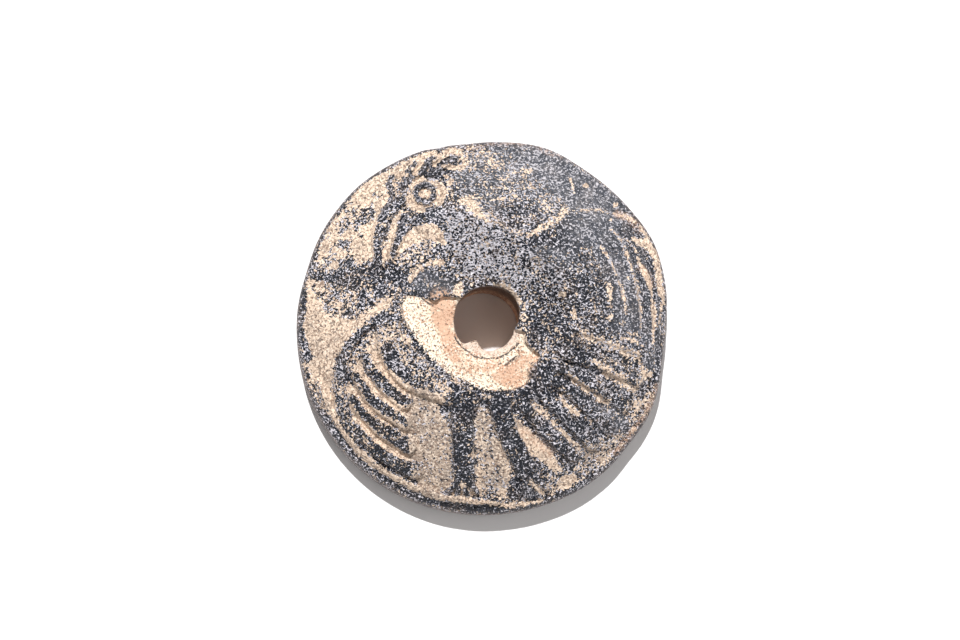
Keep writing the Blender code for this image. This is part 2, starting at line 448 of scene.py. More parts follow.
class TreeMaker(NodeMaker):
    """A geometry node tree with named inputs, and the mesh that it makes of an object."""

    def __init__(self, name: str) -> None:
        """Start a tree that takes one geometry and gives one.

        Args:
            name: The tree's name.
        """
        super().__init__(bpy.data.node_groups.new(name, "GeometryNodeTree"))
        for way in ("INPUT", "OUTPUT"):
            self.tree.interface.new_socket(name="Geometry", in_out=way, socket_type="NodeSocketGeometry")
        self.given = self.tree.nodes.new("NodeGroupInput")
        self.geometry = self.given.outputs["Geometry"]
        self.values: dict[str, float | int] = {}

    def given_value(self, name: str, value: float | int) -> Socket:
        """Add a named input and remember the value that it gets.

        Args:
            name: The input's name.
            value: Its value, a whole number or not.

        Returns:
            The input's socket.
        """
        kind = "NodeSocketInt" if isinstance(value, int) else "NodeSocketFloat"
        socket = self.tree.interface.new_socket(name=name, in_out="INPUT", socket_type=kind)
        self.values[socket.identifier] = value
        return self.given.outputs[name]

    def attribute(self, name: str) -> Socket:
        """Read a point attribute of the geometry."""
        return self.node("GeometryNodeInputNamedAttribute", Name=name).outputs["Attribute"]

    def noise(self, name: str, scale: float, depth: float, detail: float, seed: int,
              roughness: float = 0.5) -> Socket:
        """Add noise that is 0 on average, moved by a seed.

        Args:
            name: What its named inputs start with.
            scale: How many waves a metre has.
            depth: How deep it is, in metres.
            detail: How many finer octaves are added.
            seed: The noise's seed.
            roughness: How strong the finer octaves are.

        Returns:
            The noise's socket.
        """
        node = self.node("ShaderNodeTexNoise", Detail=detail, Roughness=roughness)
        node.noise_dimensions = "4D"
        self.put(node.inputs["Scale"], self.given_value(f"{name} Scale", scale))
        self.put(node.inputs["W"], self.given_value(f"{name} Seed", float(seed)))
        return self.times(self.minus(node.outputs[0], 0.5), self.given_value(f"{name} Depth", depth))

    def run(self, thing: bpy.types.Object, result: Socket,
            material: bpy.types.Material | None) -> bpy.types.Mesh:
        """Put the tree on an object and read the mesh that it makes.

        Args:
            thing: The object that the tree works on.
            result: The geometry that the tree gives.
            material: The finish that the result gets, or none.

        Returns:
            A plain mesh of its own.
        """
        out = self.tree.nodes.new("NodeGroupOutput")
        real = self.node("GeometryNodeRealizeInstances", result)
        dressed = self.node("GeometryNodeSetMaterial", real.outputs["Geometry"], Material=material)
        self.put(out.inputs["Geometry"], dressed.outputs["Geometry"])
        modifier = thing.modifiers.new(self.tree.name, "NODES")
        modifier.node_group = self.tree
        for identifier, value in self.values.items():
            modifier[identifier] = value
        evaluated = thing.evaluated_get(bpy.context.evaluated_depsgraph_get())
        mesh = bpy.data.meshes.new_from_object(evaluated)
        thing.modifiers.remove(modifier)
        return mesh


@dataclass(frozen=True)
class BirdRelief:
    """The moulded bird, laid on the dome as raised strokes and grooves."""

    eye: Point = (-0.327, 0.695)
    eye_socket: float = 0.095
    eye_ring: float = 0.062
    pupil: float = 0.03
    slope: float = 0.017
    broad_slope: float = 0.05
    swell_slope: float = 0.22
    slender_height: float = 1.1
    flat_share: float = 0.62
    groove_depth: float = 0.7
    wing_foot_depth: float = 0.75
    body: tuple[Stroke, ...] = (
        line((-0.27, 0.6), (-0.12, 0.44), (-0.02, 0.2), 0.26, 0.4, 0.56),
        line((0.0, 0.12), (0.1, -0.04), (0.16, -0.22), 0.62, 0.62, 0.4),
        line((0.3, -0.02), (0.46, -0.04), (0.6, -0.06), 0.36, 0.18, 0.08))
    raised_wing: tuple[Stroke, ...] = (
        line((0.2, 0.25), (0.56, 0.32), (0.74, 0.02), 0.42, 0.6, 0.36),
        line((0.74, 0.1), (0.84, -0.02), (0.84, -0.14), 0.34, 0.24, 0.1))
    folded_wing: tuple[Stroke, ...] = (
        line((-0.455, 0.045), (-0.71, -0.075), (-0.775, -0.46), 0.065, 0.075, 0.045),
        line((-0.525, -0.015), (-0.42, -0.24), (-0.095, -0.41), 0.12, 0.19, 0.1),
        line((-0.755, -0.46), (-0.715, -0.545), (-0.675, -0.605), 0.045, 0.055, 0.04))
    legs: tuple[Stroke, ...] = (
        line((-0.14, -0.395), (-0.13, -0.59), (-0.115, -0.785), 0.115),
        line((0.06, -0.425), (0.115, -0.59), (0.23, -0.785), 0.105, 0.11, 0.115))
    beak: tuple[Stroke, ...] = (
        line((-0.455, 0.66), (-0.57, 0.495), (-0.555, 0.31), 0.06, 0.068, 0.034),
        line((-0.385, 0.58), (-0.45, 0.48), (-0.51, 0.34), 0.05, 0.052, 0.03))
    crest: Fan = Fan(
        ((-0.48, 0.805), (-0.5, 0.75), (-0.475, 0.675)), ((-0.305, 0.885), (-0.36, 0.835), (-0.41, 0.765)),
        ((-0.155, 0.9), (-0.23, 0.84), (-0.295, 0.79)), 4, (0.026, 0.032, 0.03))
    folded_feathers: Fan = Fan(
        ((-0.635, -0.17), (-0.56, -0.305), (-0.445, -0.415)),
        ((-0.7, -0.335), (-0.6, -0.458), (-0.427, -0.58)),
        ((-0.69, -0.53), (-0.545, -0.685), (-0.37, -0.77)), 4, (0.048, 0.066, 0.084))
    tail_feathers: Fan = Fan(
        ((0.33, -0.155), (0.585, -0.2), (0.81, -0.285)), ((0.31, -0.275), (0.5, -0.4), (0.655, -0.54)),
        ((0.185, -0.425), (0.32, -0.57), (0.465, -0.69)), 5, (0.06, 0.078, 0.072))
    wing_grooves: Fan = Fan(
        ((0.53, 0.35), (0.585, 0.235), (0.635, 0.025)), ((0.705, 0.51), (0.81, 0.29), (0.825, -0.1)),
        ((0.83, 0.51), (0.92, 0.35), (0.965, 0.19)), 5, (0.02, 0.034, 0.02))
    wing_foot: Stroke = line((0.46, -0.055), (0.625, -0.115), (0.82, -0.18), 0.022, 0.032, 0.026)
    feet: tuple[tuple[float, float, float], ...] = (
        (-0.12, -0.79, -90.0), (0.235, -0.79, -78.0))
    toe_count: int = 4
    toe_spread: float = 40.0
    toe_length: float = 0.115
    toe_widths: Widths = (0.05, 0.036, 0.024)
    border_radius: float = 0.935
    border_width: float = 0.035
    border_bearings: Point = (196.0, 278.0)

    def toes(self) -> list[Stroke]:
        """The toes that fan out from both feet.

        Returns:
            The toes, foot by foot.
        """
        out = []
        for x, y, heading in self.feet:
            for index in range(self.toe_count):
                bearing = math.radians(heading + self.toe_spread * (2.0 * index / (self.toe_count - 1) - 1.0))
                tip = (x + self.toe_length * math.cos(bearing), y + self.toe_length * math.sin(bearing))
                bend = ((x + tip[0]) / 2.0, (y + tip[1]) / 2.0)
                out.append(Stroke(((x, y), bend, tip), self.toe_widths))
        return out

    def slender(self) -> list[Stroke]:
        """Every narrow raised stroke, the feathers and the crest last."""
        out = list(self.folded_wing + self.legs + self.beak) + self.toes()
        return out + self.crest.strokes() + self.folded_feathers.strokes() + self.tail_feathers.strokes()

    def height(self, face: Face) -> np.ndarray:
        """Height of the carving over the face.

        Args:
            face: The points.

        Returns:
            0 on the ground, 1 on the bird and a little more on its slender parts.
        """
        edge = np.zeros(face.x.shape)
        swell = np.zeros(face.x.shape)
        for stroke in self.body + self.raised_wing:
            edge = np.maximum(edge, face.stroke(stroke, self.broad_slope))
            swell = np.maximum(swell, face.stroke(stroke, self.swell_slope))
        up = edge * (self.flat_share + (1.0 - self.flat_share) * swell)
        for stroke in self.slender():
            up = np.maximum(up, self.slender_height * face.stroke(stroke, self.slope))
        up *= 1.0 - face.ring(self.eye, self.eye_socket, self.slope)
        ring = face.ring(self.eye, self.eye_ring, self.slope)
        up = np.maximum(up, ring * (1.0 - face.ring(self.eye, self.pupil, self.slope)))
        for stroke in self.wing_grooves.strokes():
            up *= 1.0 - self.groove_depth * face.stroke(stroke, self.slope)
        up *= 1.0 - self.wing_foot_depth * face.stroke(self.wing_foot, self.slope)
        border = face.arc(self.border_radius, self.border_width, self.border_bearings, self.slope)
        return np.maximum(up, border)


@dataclass(frozen=True)
class Damage:
    """The broken patch beside the bore, the uneven bore and the worn outline.

    The lists begin with bearings. The patch's edge is in shares of the radius, its depth, the bore's
    mouth and foot are in millimetres, and the outline has a spread in degrees and a depth in millimetres.
    """

    spall_edge: tuple[Point, ...] = (
        (141.0, 0.195), (145.0, 0.222), (148.0, 0.25), (151.0, 0.276), (158.5, 0.29), (160.0, 0.37),
        (161.0, 0.457), (169.0, 0.461), (177.0, 0.444), (182.0, 0.42), (188.0, 0.395), (200.0, 0.368),
        (212.0, 0.35), (233.0, 0.327), (245.0, 0.327), (257.0, 0.334), (270.0, 0.35), (282.0, 0.36),
        (294.0, 0.374), (302.0, 0.377), (307.0, 0.35), (310.0, 0.323), (317.0, 0.316), (323.0, 0.325),
        (327.0, 0.32), (328.5, 0.25), (330.0, 0.222), (334.0, 0.206), (345.0, 0.195))
    spall_slope: float = 0.022
    ragged_edge: float = 0.06
    spall_depth: tuple[Point, ...] = (
        (141.0, 0.03), (150.0, 0.05), (158.0, 0.08), (166.0, 0.22), (178.0, 0.4), (225.0, 0.34),
        (270.0, 0.28), (300.0, 0.24), (320.0, 0.12), (345.0, 0.03))
    mouth: tuple[Point, ...] = (
        (0.0, 3.02), (11.0, 3.2), (26.0, 3.5), (42.0, 3.74), (60.0, 3.84), (150.0, 3.8), (166.0, 3.64),
        (180.0, 3.58), (210.0, 3.52), (217.0, 3.48), (221.5, 3.34), (225.5, 2.86), (229.5, 2.42),
        (234.0, 2.14), (239.0, 2.2), (244.0, 2.38), (250.0, 2.58), (256.0, 2.76), (262.0, 2.89),
        (270.0, 2.96), (292.0, 2.85), (300.0, 2.93), (314.0, 2.85), (333.0, 2.82), (348.0, 2.72),
        (353.0, 2.86), (360.0, 3.02))
    foot: tuple[Point, ...] = (
        (0.0, 3.75), (30.0, 3.85), (120.0, 3.8), (150.0, 3.65), (180.0, 3.4), (320.0, 3.3), (345.0, 3.55),
        (360.0, 3.75))
    outline: tuple[tuple[float, float, float], ...] = (
        (27.0, 11.0, 0.42), (46.0, 12.0, 0.15), (70.0, 10.0, 0.36), (86.0, 5.0, -0.07), (96.0, 7.0, -0.28),
        (104.5, 3.0, -0.16), (132.0, 9.0, 0.12), (163.0, 9.0, -0.22), (182.0, 12.0, -0.1),
        (303.0, 14.0, 0.12), (321.0, 6.0, -0.13), (352.0, 11.0, -0.58), (3.0, 6.0, -0.2))
    wear_starts: float = 0.9
    crack_radius: float = 0.189
    crack_width: float = 0.012
    crack_soft: float = 0.006
    crack_bearings: Point = (198.0, 332.0)
    ledge_radius: float = 0.16
    ledge_width: float = 0.09
    ledge_bearings: Point = (182.0, 352.0)
    ledge_soft: float = 0.02
    ledge_depth: float = 1.4
    second_crack: Stroke = line((0.088, -0.224), (0.131, -0.190), (0.164, -0.172), 0.016, 0.022, 0.014)
    # A painted shadow line under the slip's broken edge, on the north side of the broken patch.
    edge_shadow_line: Stroke = line((-0.35, 0.13), (-0.3, 0.092), (-0.245, 0.066), 0.012, 0.014, 0.006)
    # Edge softness of the fine cracks and of the painted shadow line.
    crack_and_shadow_edge: float = 0.010

    def around(self, table: tuple[Point, ...], face: Face, ease: int = 4) -> np.ndarray:
        """Read a list of bearings and values at every point's bearing.

        Args:
            table: The bearings with their values.
            face: The points.
            ease: How many half degrees the values are eased over on either side.

        Returns:
            The value at each point.
        """
        bearings, values = zip(*table)
        step = np.arange(0.0, 360.0, 0.5)
        read = np.interp(step, bearings, values, left=0.0, right=0.0)
        eased = sum(np.roll(read, shift) for shift in range(-ease, ease + 1)) / (2.0 * ease + 1.0)
        return np.interp(face.bearing, np.append(step, 360.0), np.append(eased, eased[0]))

    def spall(self, face: Face, slope: float) -> np.ndarray:
        """1 on the broken patch round the bore, and 0 beyond an edge of the given width."""
        edge = self.around(self.spall_edge, face, 1)
        return smooth((edge - face.share) / slope + 0.5)

    def ring_crack(self, face: Face) -> np.ndarray:
        """The wandering, ring-shaped crack round the bore.

        Args:
            face: The points.

        Returns:
            1 on the crack and 0 off it.
        """
        turn = np.radians(face.bearing)
        wander = 0.0015 * np.sin(9.0 * turn) + 0.001 * np.sin(23.0 * turn)
        return face.arc(self.crack_radius + wander, self.crack_width, self.crack_bearings, self.crack_soft)

    def ledge(self, face: Face) -> np.ndarray:
        """The sunken ledge inside the ring-shaped crack."""
        inner = smooth((self.crack_radius - face.share) / self.ledge_soft)
        return inner * face.arc(self.ledge_radius, self.ledge_width, self.ledge_bearings, self.ledge_soft)

    def outline_shift(self, face: Face) -> np.ndarray:
        """How far the outline stands out or in.

        Args:
            face: The points.

        Returns:
            The shift at each point, in metres.
        """
        shift = np.zeros(face.x.shape)
        for centre, spread, depth in self.outline:
            away = (face.bearing - centre + 180.0) % 360.0 - 180.0
            shift += depth * MILLIMETRE * np.exp(-(away / spread) ** 2)
        return shift * smooth((face.share - self.wear_starts) / (1.0 - self.wear_starts))


def cover(value: float, *strokes: Stroke, soft: float = 0.03) -> list[Patch]:
    """Patches that set how much of the dark slip lies under pale sediment."""
    return tint(Channel.COVER, value, *strokes, soft=soft)


def tint(channel: Channel, value: float, *strokes: Stroke, soft: float = 0.05) -> list[Patch]:
    """Patches that pull one channel towards a value."""
    return [Patch(channel, value, stroke, soft) for stroke in strokes]


@dataclass(frozen=True)
class Patina:
    """Where the slip is whole, worn, dusty or buried under sediment."""

    bird: BirdRelief
    dark_edge: Point = (22.0, 178.0)
    edge_share: float = 0.997
    edge_width: float = 0.026
    edge_softness: float = 0.014
    edge_cover: float = 0.12
    edge_strength: float = 0.9

    def bill_side(self) -> list[Patch]:
        """The pale ground in front of the bill and down to the folded wing.

        Returns:
            The patches, in the order of painting.
        """
        return [
            *cover(1.0, line((-0.53, 0.81), (-0.63, 0.74), (-0.74, 0.64), 0.1, 0.15, 0.1),
                   line((-0.55, 0.76), (-0.6, 0.66), (-0.62, 0.52), 0.14, 0.13, 0.08),
                   line((-0.62, 0.5), (-0.66, 0.44), (-0.67, 0.36), 0.09, 0.12, 0.1), soft=0.04),
            *cover(0.64, line((-0.7, 0.62), (-0.76, 0.55), (-0.82, 0.46), 0.12, 0.14, 0.12), soft=0.06),
            *cover(0.62, line((-0.74, 0.46), (-0.8, 0.38), (-0.88, 0.3), 0.16, 0.18, 0.12), soft=0.08),
            *cover(0.93, line((-0.86, 0.49), (-0.84, 0.53), (-0.8, 0.55), 0.05, 0.06, 0.05),
                   dab(-0.72, 0.47, 0.06), dab(-0.86, 0.41, 0.08), dab(-0.77, 0.37, 0.06),
                   dab(-0.66, 0.42, 0.1)),
            *cover(0.28, line((-0.92, 0.255), (-0.7, 0.235), (-0.44, 0.26), 0.12, 0.17), soft=0.08),
            *cover(0.16, line((-0.9, 0.255), (-0.7, 0.225), (-0.48, 0.25), 0.05, 0.09, 0.1), soft=0.06),
            *cover(0.3, line((-0.8, 0.4), (-0.76, 0.43), (-0.71, 0.42), 0.05, 0.06, 0.04),
                   line((-0.83, 0.34), (-0.78, 0.32), (-0.72, 0.35), 0.06)),
            *cover(0.36, dab(-0.62, 0.585, 0.08), soft=0.02),
            *cover(0.1, line((-0.65, 0.615), (-0.588, 0.612), (-0.592, 0.56), 0.016),
                   line((-0.6, 0.615), (-0.605, 0.63), (-0.6, 0.645), 0.012), soft=0.014),
            *cover(0.3, line((-0.64, 0.555), (-0.7, 0.545), (-0.78, 0.535), 0.04, 0.03, 0.022),
                   dab(-0.69, 0.6, 0.03), dab(-0.745, 0.565, 0.036), dab(-0.655, 0.475, 0.034),
                   dab(-0.682, 0.51, 0.03), dab(-0.7, 0.44, 0.026), dab(-0.76, 0.5, 0.03), soft=0.022),
            *cover(0.12, line((-0.59, 0.7), (-0.568, 0.684), (-0.555, 0.7), 0.012),
                   dab(-0.584, 0.708, 0.018), soft=0.012),
            *cover(0.99, dab(-0.567, 0.708, 0.026), soft=0.012),
            *cover(0.42, line((-0.88, 0.18), (-0.72, 0.13), (-0.52, 0.17), 0.14, 0.22, 0.12), soft=0.08),
            *cover(0.93, line((-0.95, 0.17), (-0.92, 0.09), (-0.9, -0.02), 0.06, 0.11, 0.14),
                   dab(-0.94, 0.225, 0.05), dab(-0.868, 0.213, 0.04), soft=0.04),
            *cover(0.95, line((-0.772, -0.1), (-0.668, 0.006), (-0.515, 0.11), 0.05, 0.044, 0.034),
                   line((-0.88, 0.0), (-0.8, 0.0), (-0.74, 0.01), 0.1, 0.08, 0.04), soft=0.04),
            *cover(0.14, dab(-0.655, 0.155, 0.05), dab(-0.665, 0.105, 0.04), dab(-0.8, 0.156, 0.05),
                   dab(-0.73, 0.06, 0.04), dab(-0.835, 0.11, 0.03), dab(-0.555, 0.18, 0.08),
                   dab(-0.607, 0.12, 0.04), dab(-0.695, 0.206, 0.05)),
            *cover(0.9, dab(-0.772, 0.104, 0.03), dab(-0.797, 0.4, 0.04), dab(-0.798, 0.318, 0.04),
                   dab(-0.693, 0.422, 0.05)),
            *cover(0.3, dab(-0.744, 0.535, 0.05), dab(-0.9, 0.32, 0.04), soft=0.04)
        ]

    def head(self) -> list[Patch]:
        """The head, its bill and crest, and the pale hollows round them.

        Returns:
            The patches, in the order of painting.
        """
        bird = self.bird
        return [
            *cover(0.95, line((-0.52, 0.83), (-0.4, 0.89), (-0.28, 0.935), 0.06, 0.07, 0.05),
                   line((-0.46, 0.83), (-0.455, 0.79), (-0.445, 0.755), 0.07, 0.034, 0.014),
                   line((-0.34, 0.9), (-0.345, 0.85), (-0.37, 0.795), 0.05, 0.036, 0.016),
                   line((-0.26, 0.875), (-0.235, 0.905), (-0.2, 0.93), 0.022, 0.03, 0.036),
                   line((-0.2, 0.94), (-0.13, 0.93), (-0.11, 0.89), 0.05, 0.05, 0.04),
                   line((-0.2, 0.855), (-0.15, 0.845), (-0.1, 0.86), 0.02, 0.024, 0.03), soft=0.02),
            *cover(0.14, line((-0.5, 0.69), (-0.512, 0.755), (-0.488, 0.805), 0.05, 0.036, 0.028),
                   line((-0.445, 0.76), (-0.415, 0.825), (-0.372, 0.868), 0.03, 0.03, 0.034),
                   line((-0.345, 0.79), (-0.318, 0.85), (-0.285, 0.885), 0.034, 0.036, 0.03),
                   line((-0.27, 0.835), (-0.215, 0.88), (-0.165, 0.905), 0.026, 0.034, 0.042),
                   line((-0.45, 0.765), (-0.33, 0.785), (-0.2, 0.83), 0.034, 0.03, 0.04),
                   dab(-0.165, 0.875, 0.046), soft=0.02),
            *cover(0.95, line((-0.478, 0.825), (-0.462, 0.79), (-0.448, 0.765), 0.03, 0.022, 0.012),
                   line((-0.348, 0.905), (-0.352, 0.86), (-0.378, 0.805), 0.036, 0.026, 0.014),
                   line((-0.268, 0.868), (-0.24, 0.898), (-0.205, 0.925), 0.014, 0.02, 0.026),
                   line((-0.225, 0.85), (-0.165, 0.845), (-0.1, 0.865), 0.012, 0.016, 0.022), soft=0.018),
            *cover(0.5, dab(-0.39, 0.84, 0.03), dab(-0.245, 0.922, 0.036), soft=0.02),
            *cover(0.9, dab(-0.267, 0.858, 0.022), dab(-0.426, 0.804, 0.022), dab(-0.533, 0.722, 0.022),
                   soft=0.02),
            *cover(0.44, line((-0.47, 0.69), (-0.43, 0.64), (-0.39, 0.6), 0.07, 0.07, 0.05), soft=0.05),
            *cover(0.24, *bird.beak, soft=0.025),
            *cover(0.05, line((-0.498, 0.7), (-0.545, 0.61), (-0.575, 0.545), 0.024, 0.018, 0.012),
                   line((-0.592, 0.5), (-0.602, 0.4), (-0.57, 0.3), 0.016, 0.018, 0.026),
                   line((-0.44, 0.52), (-0.475, 0.44), (-0.505, 0.34), 0.022, 0.02, 0.014), soft=0.02),
            *cover(0.6, line((-0.575, 0.54), (-0.56, 0.525), (-0.54, 0.52), 0.016),
                   line((-0.55, 0.43), (-0.545, 0.38), (-0.548, 0.33), 0.016), soft=0.02),
            *cover(0.92, line((-0.455, 0.6), (-0.498, 0.5), (-0.528, 0.35), 0.018, 0.036, 0.024),
                   soft=0.022),
            *cover(0.96, line((-0.598, 0.535), (-0.616, 0.45), (-0.608, 0.35), 0.026, 0.036, 0.026),
                   line((-0.525, 0.69), (-0.57, 0.61), (-0.598, 0.54), 0.024, 0.02, 0.016), soft=0.02),
            *cover(0.74, dab(*bird.eye, 1.66 * bird.eye_socket), soft=0.05),
            *cover(0.96, line((-0.405, 0.66), (-0.37, 0.615), (-0.3, 0.612), 0.026, 0.034, 0.026),
                   line((-0.26, 0.64), (-0.232, 0.7), (-0.262, 0.76), 0.022, 0.032, 0.026),
                   line((-0.33, 0.78), (-0.37, 0.765), (-0.395, 0.725), 0.014, 0.026, 0.028), soft=0.024),
            *cover(0.16, dab(*bird.eye, 1.95 * bird.eye_ring), soft=0.02),
            *cover(0.95, dab(*bird.eye, 1.75 * bird.pupil), soft=0.02),
            *cover(0.05, line((-0.368, 0.725), (-0.32, 0.75), (-0.278, 0.72), 0.012, 0.02, 0.014),
                   line((-0.3, 0.6), (-0.285, 0.56), (-0.28, 0.53), 0.05, 0.04, 0.02), soft=0.02),
            *cover(0.8, dab(-0.19, 0.77, 0.036), dab(-0.21, 0.8, 0.025), dab(-0.215, 0.725, 0.03)),
            *cover(0.97, line((-0.465, 0.38), (-0.39, 0.46), (-0.305, 0.482), 0.03, 0.068, 0.09),
                   line((-0.315, 0.485), (-0.27, 0.455), (-0.235, 0.42), 0.08, 0.064, 0.024), soft=0.02),
            *cover(0.46, line((-0.38, 0.38), (-0.33, 0.41), (-0.29, 0.42), 0.06, 0.06, 0.04),
                   line((-0.48, 0.34), (-0.42, 0.33), (-0.33, 0.36), 0.06, 0.08, 0.06), soft=0.05),
            *cover(0.8, line((-0.35, 0.29), (-0.385, 0.26), (-0.415, 0.22), 0.03, 0.035, 0.02),
                   line((-0.32, 0.305), (-0.28, 0.315), (-0.245, 0.312), 0.018), soft=0.024),
            *cover(0.66, line((-0.14, 0.64), (-0.1, 0.65), (-0.07, 0.62), 0.04, 0.06, 0.05),
                   line((-0.07, 0.61), (-0.045, 0.58), (-0.005, 0.55), 0.06, 0.034, 0.02), soft=0.04),
            *cover(0.9, dab(-0.095, 0.635, 0.05), dab(-0.06, 0.59, 0.03)),
            *cover(0.46, line((-0.1, 0.9), (-0.05, 0.93), (0.02, 0.9), 0.08, 0.09, 0.1), soft=0.08)
        ]

    def breast(self) -> list[Patch]:
        """The neck and body round the bore, dark, crackled and glinting, with loose pale specks.

        Returns:
            The patches, in the order of painting.
        """
        return [
            *cover(0.26, line((-0.2, 0.55), (-0.05, 0.4), (0.1, 0.3), 0.2, 0.34, 0.3), soft=0.1),
            *cover(0.16, line((-0.33, 0.22), (-0.26, 0.2), (-0.2, 0.19), 0.12, 0.12, 0.08), soft=0.05),
            *cover(0.19, line((0.24, 0.46), (0.4, 0.4), (0.5, 0.2), 0.14, 0.2, 0.16), soft=0.1),
            *cover(0.22, line((0.36, 0.32), (0.46, 0.28), (0.5, 0.16), 0.06, 0.08, 0.1), soft=0.06),
            *cover(0.52, line((-0.53, 0.0), (-0.48, -0.12), (-0.4, -0.24), 0.12, 0.18),
                   line((-0.42, -0.22), (-0.3, -0.29), (-0.2, -0.34), 0.18, 0.16, 0.12), soft=0.06),
            *cover(0.4, line((-0.5, -0.15), (-0.48, -0.22), (-0.43, -0.29), 0.08, 0.08, 0.07), soft=0.05),
            *cover(0.14, line((-0.39, -0.06), (-0.32, -0.17), (-0.215, -0.285), 0.03, 0.045, 0.03)),
            *cover(0.62, dab(-0.37, -0.255, 0.07), dab(-0.29, -0.31, 0.07), dab(-0.315, -0.248, 0.05),
                   dab(-0.22, -0.335, 0.05), dab(-0.5, -0.03, 0.05), soft=0.04),
            *cover(0.16, line((-0.18, -0.38), (0.02, -0.395), (0.24, -0.36), 0.08, 0.06, 0.1), soft=0.05),
            *cover(0.44, line((-0.02, -0.38), (0.05, -0.388), (0.12, -0.385), 0.024),
                   line((0.06, -0.425), (0.09, -0.432), (0.13, -0.422), 0.034), dab(-0.121, -0.43, 0.04)),
            *cover(0.95, dab(-0.165, 0.165, 0.055), dab(-0.152, 0.192, 0.03), dab(0.105, 0.122, 0.026),
                   soft=0.016),
            *cover(0.8, line((0.375, 0.16), (0.392, 0.152), (0.404, 0.16), 0.022, 0.03, 0.016),
                   line((0.446, 0.08), (0.448, 0.055), (0.456, 0.03), 0.014, 0.024, 0.02), soft=0.018),
            *cover(0.66, line((0.47, 0.15), (0.5, 0.155), (0.53, 0.17), 0.018), soft=0.02),
            *cover(0.95, line((0.027, 0.2), (0.075, 0.187), (0.112, 0.168), 0.012, 0.018, 0.02),
                   line((0.12, 0.155), (0.15, 0.122), (0.172, 0.075), 0.018, 0.024, 0.016),
                   line((0.18, 0.04), (0.188, 0.01), (0.186, -0.03), 0.012, 0.018, 0.012), soft=0.018),
            *cover(0.44, line((0.17, 0.09), (0.182, 0.0), (0.172, -0.09), 0.03, 0.05, 0.06), soft=0.04),
            *cover(0.48, line((0.36, -0.115), (0.31, -0.14), (0.27, -0.165), 0.026))
        ]

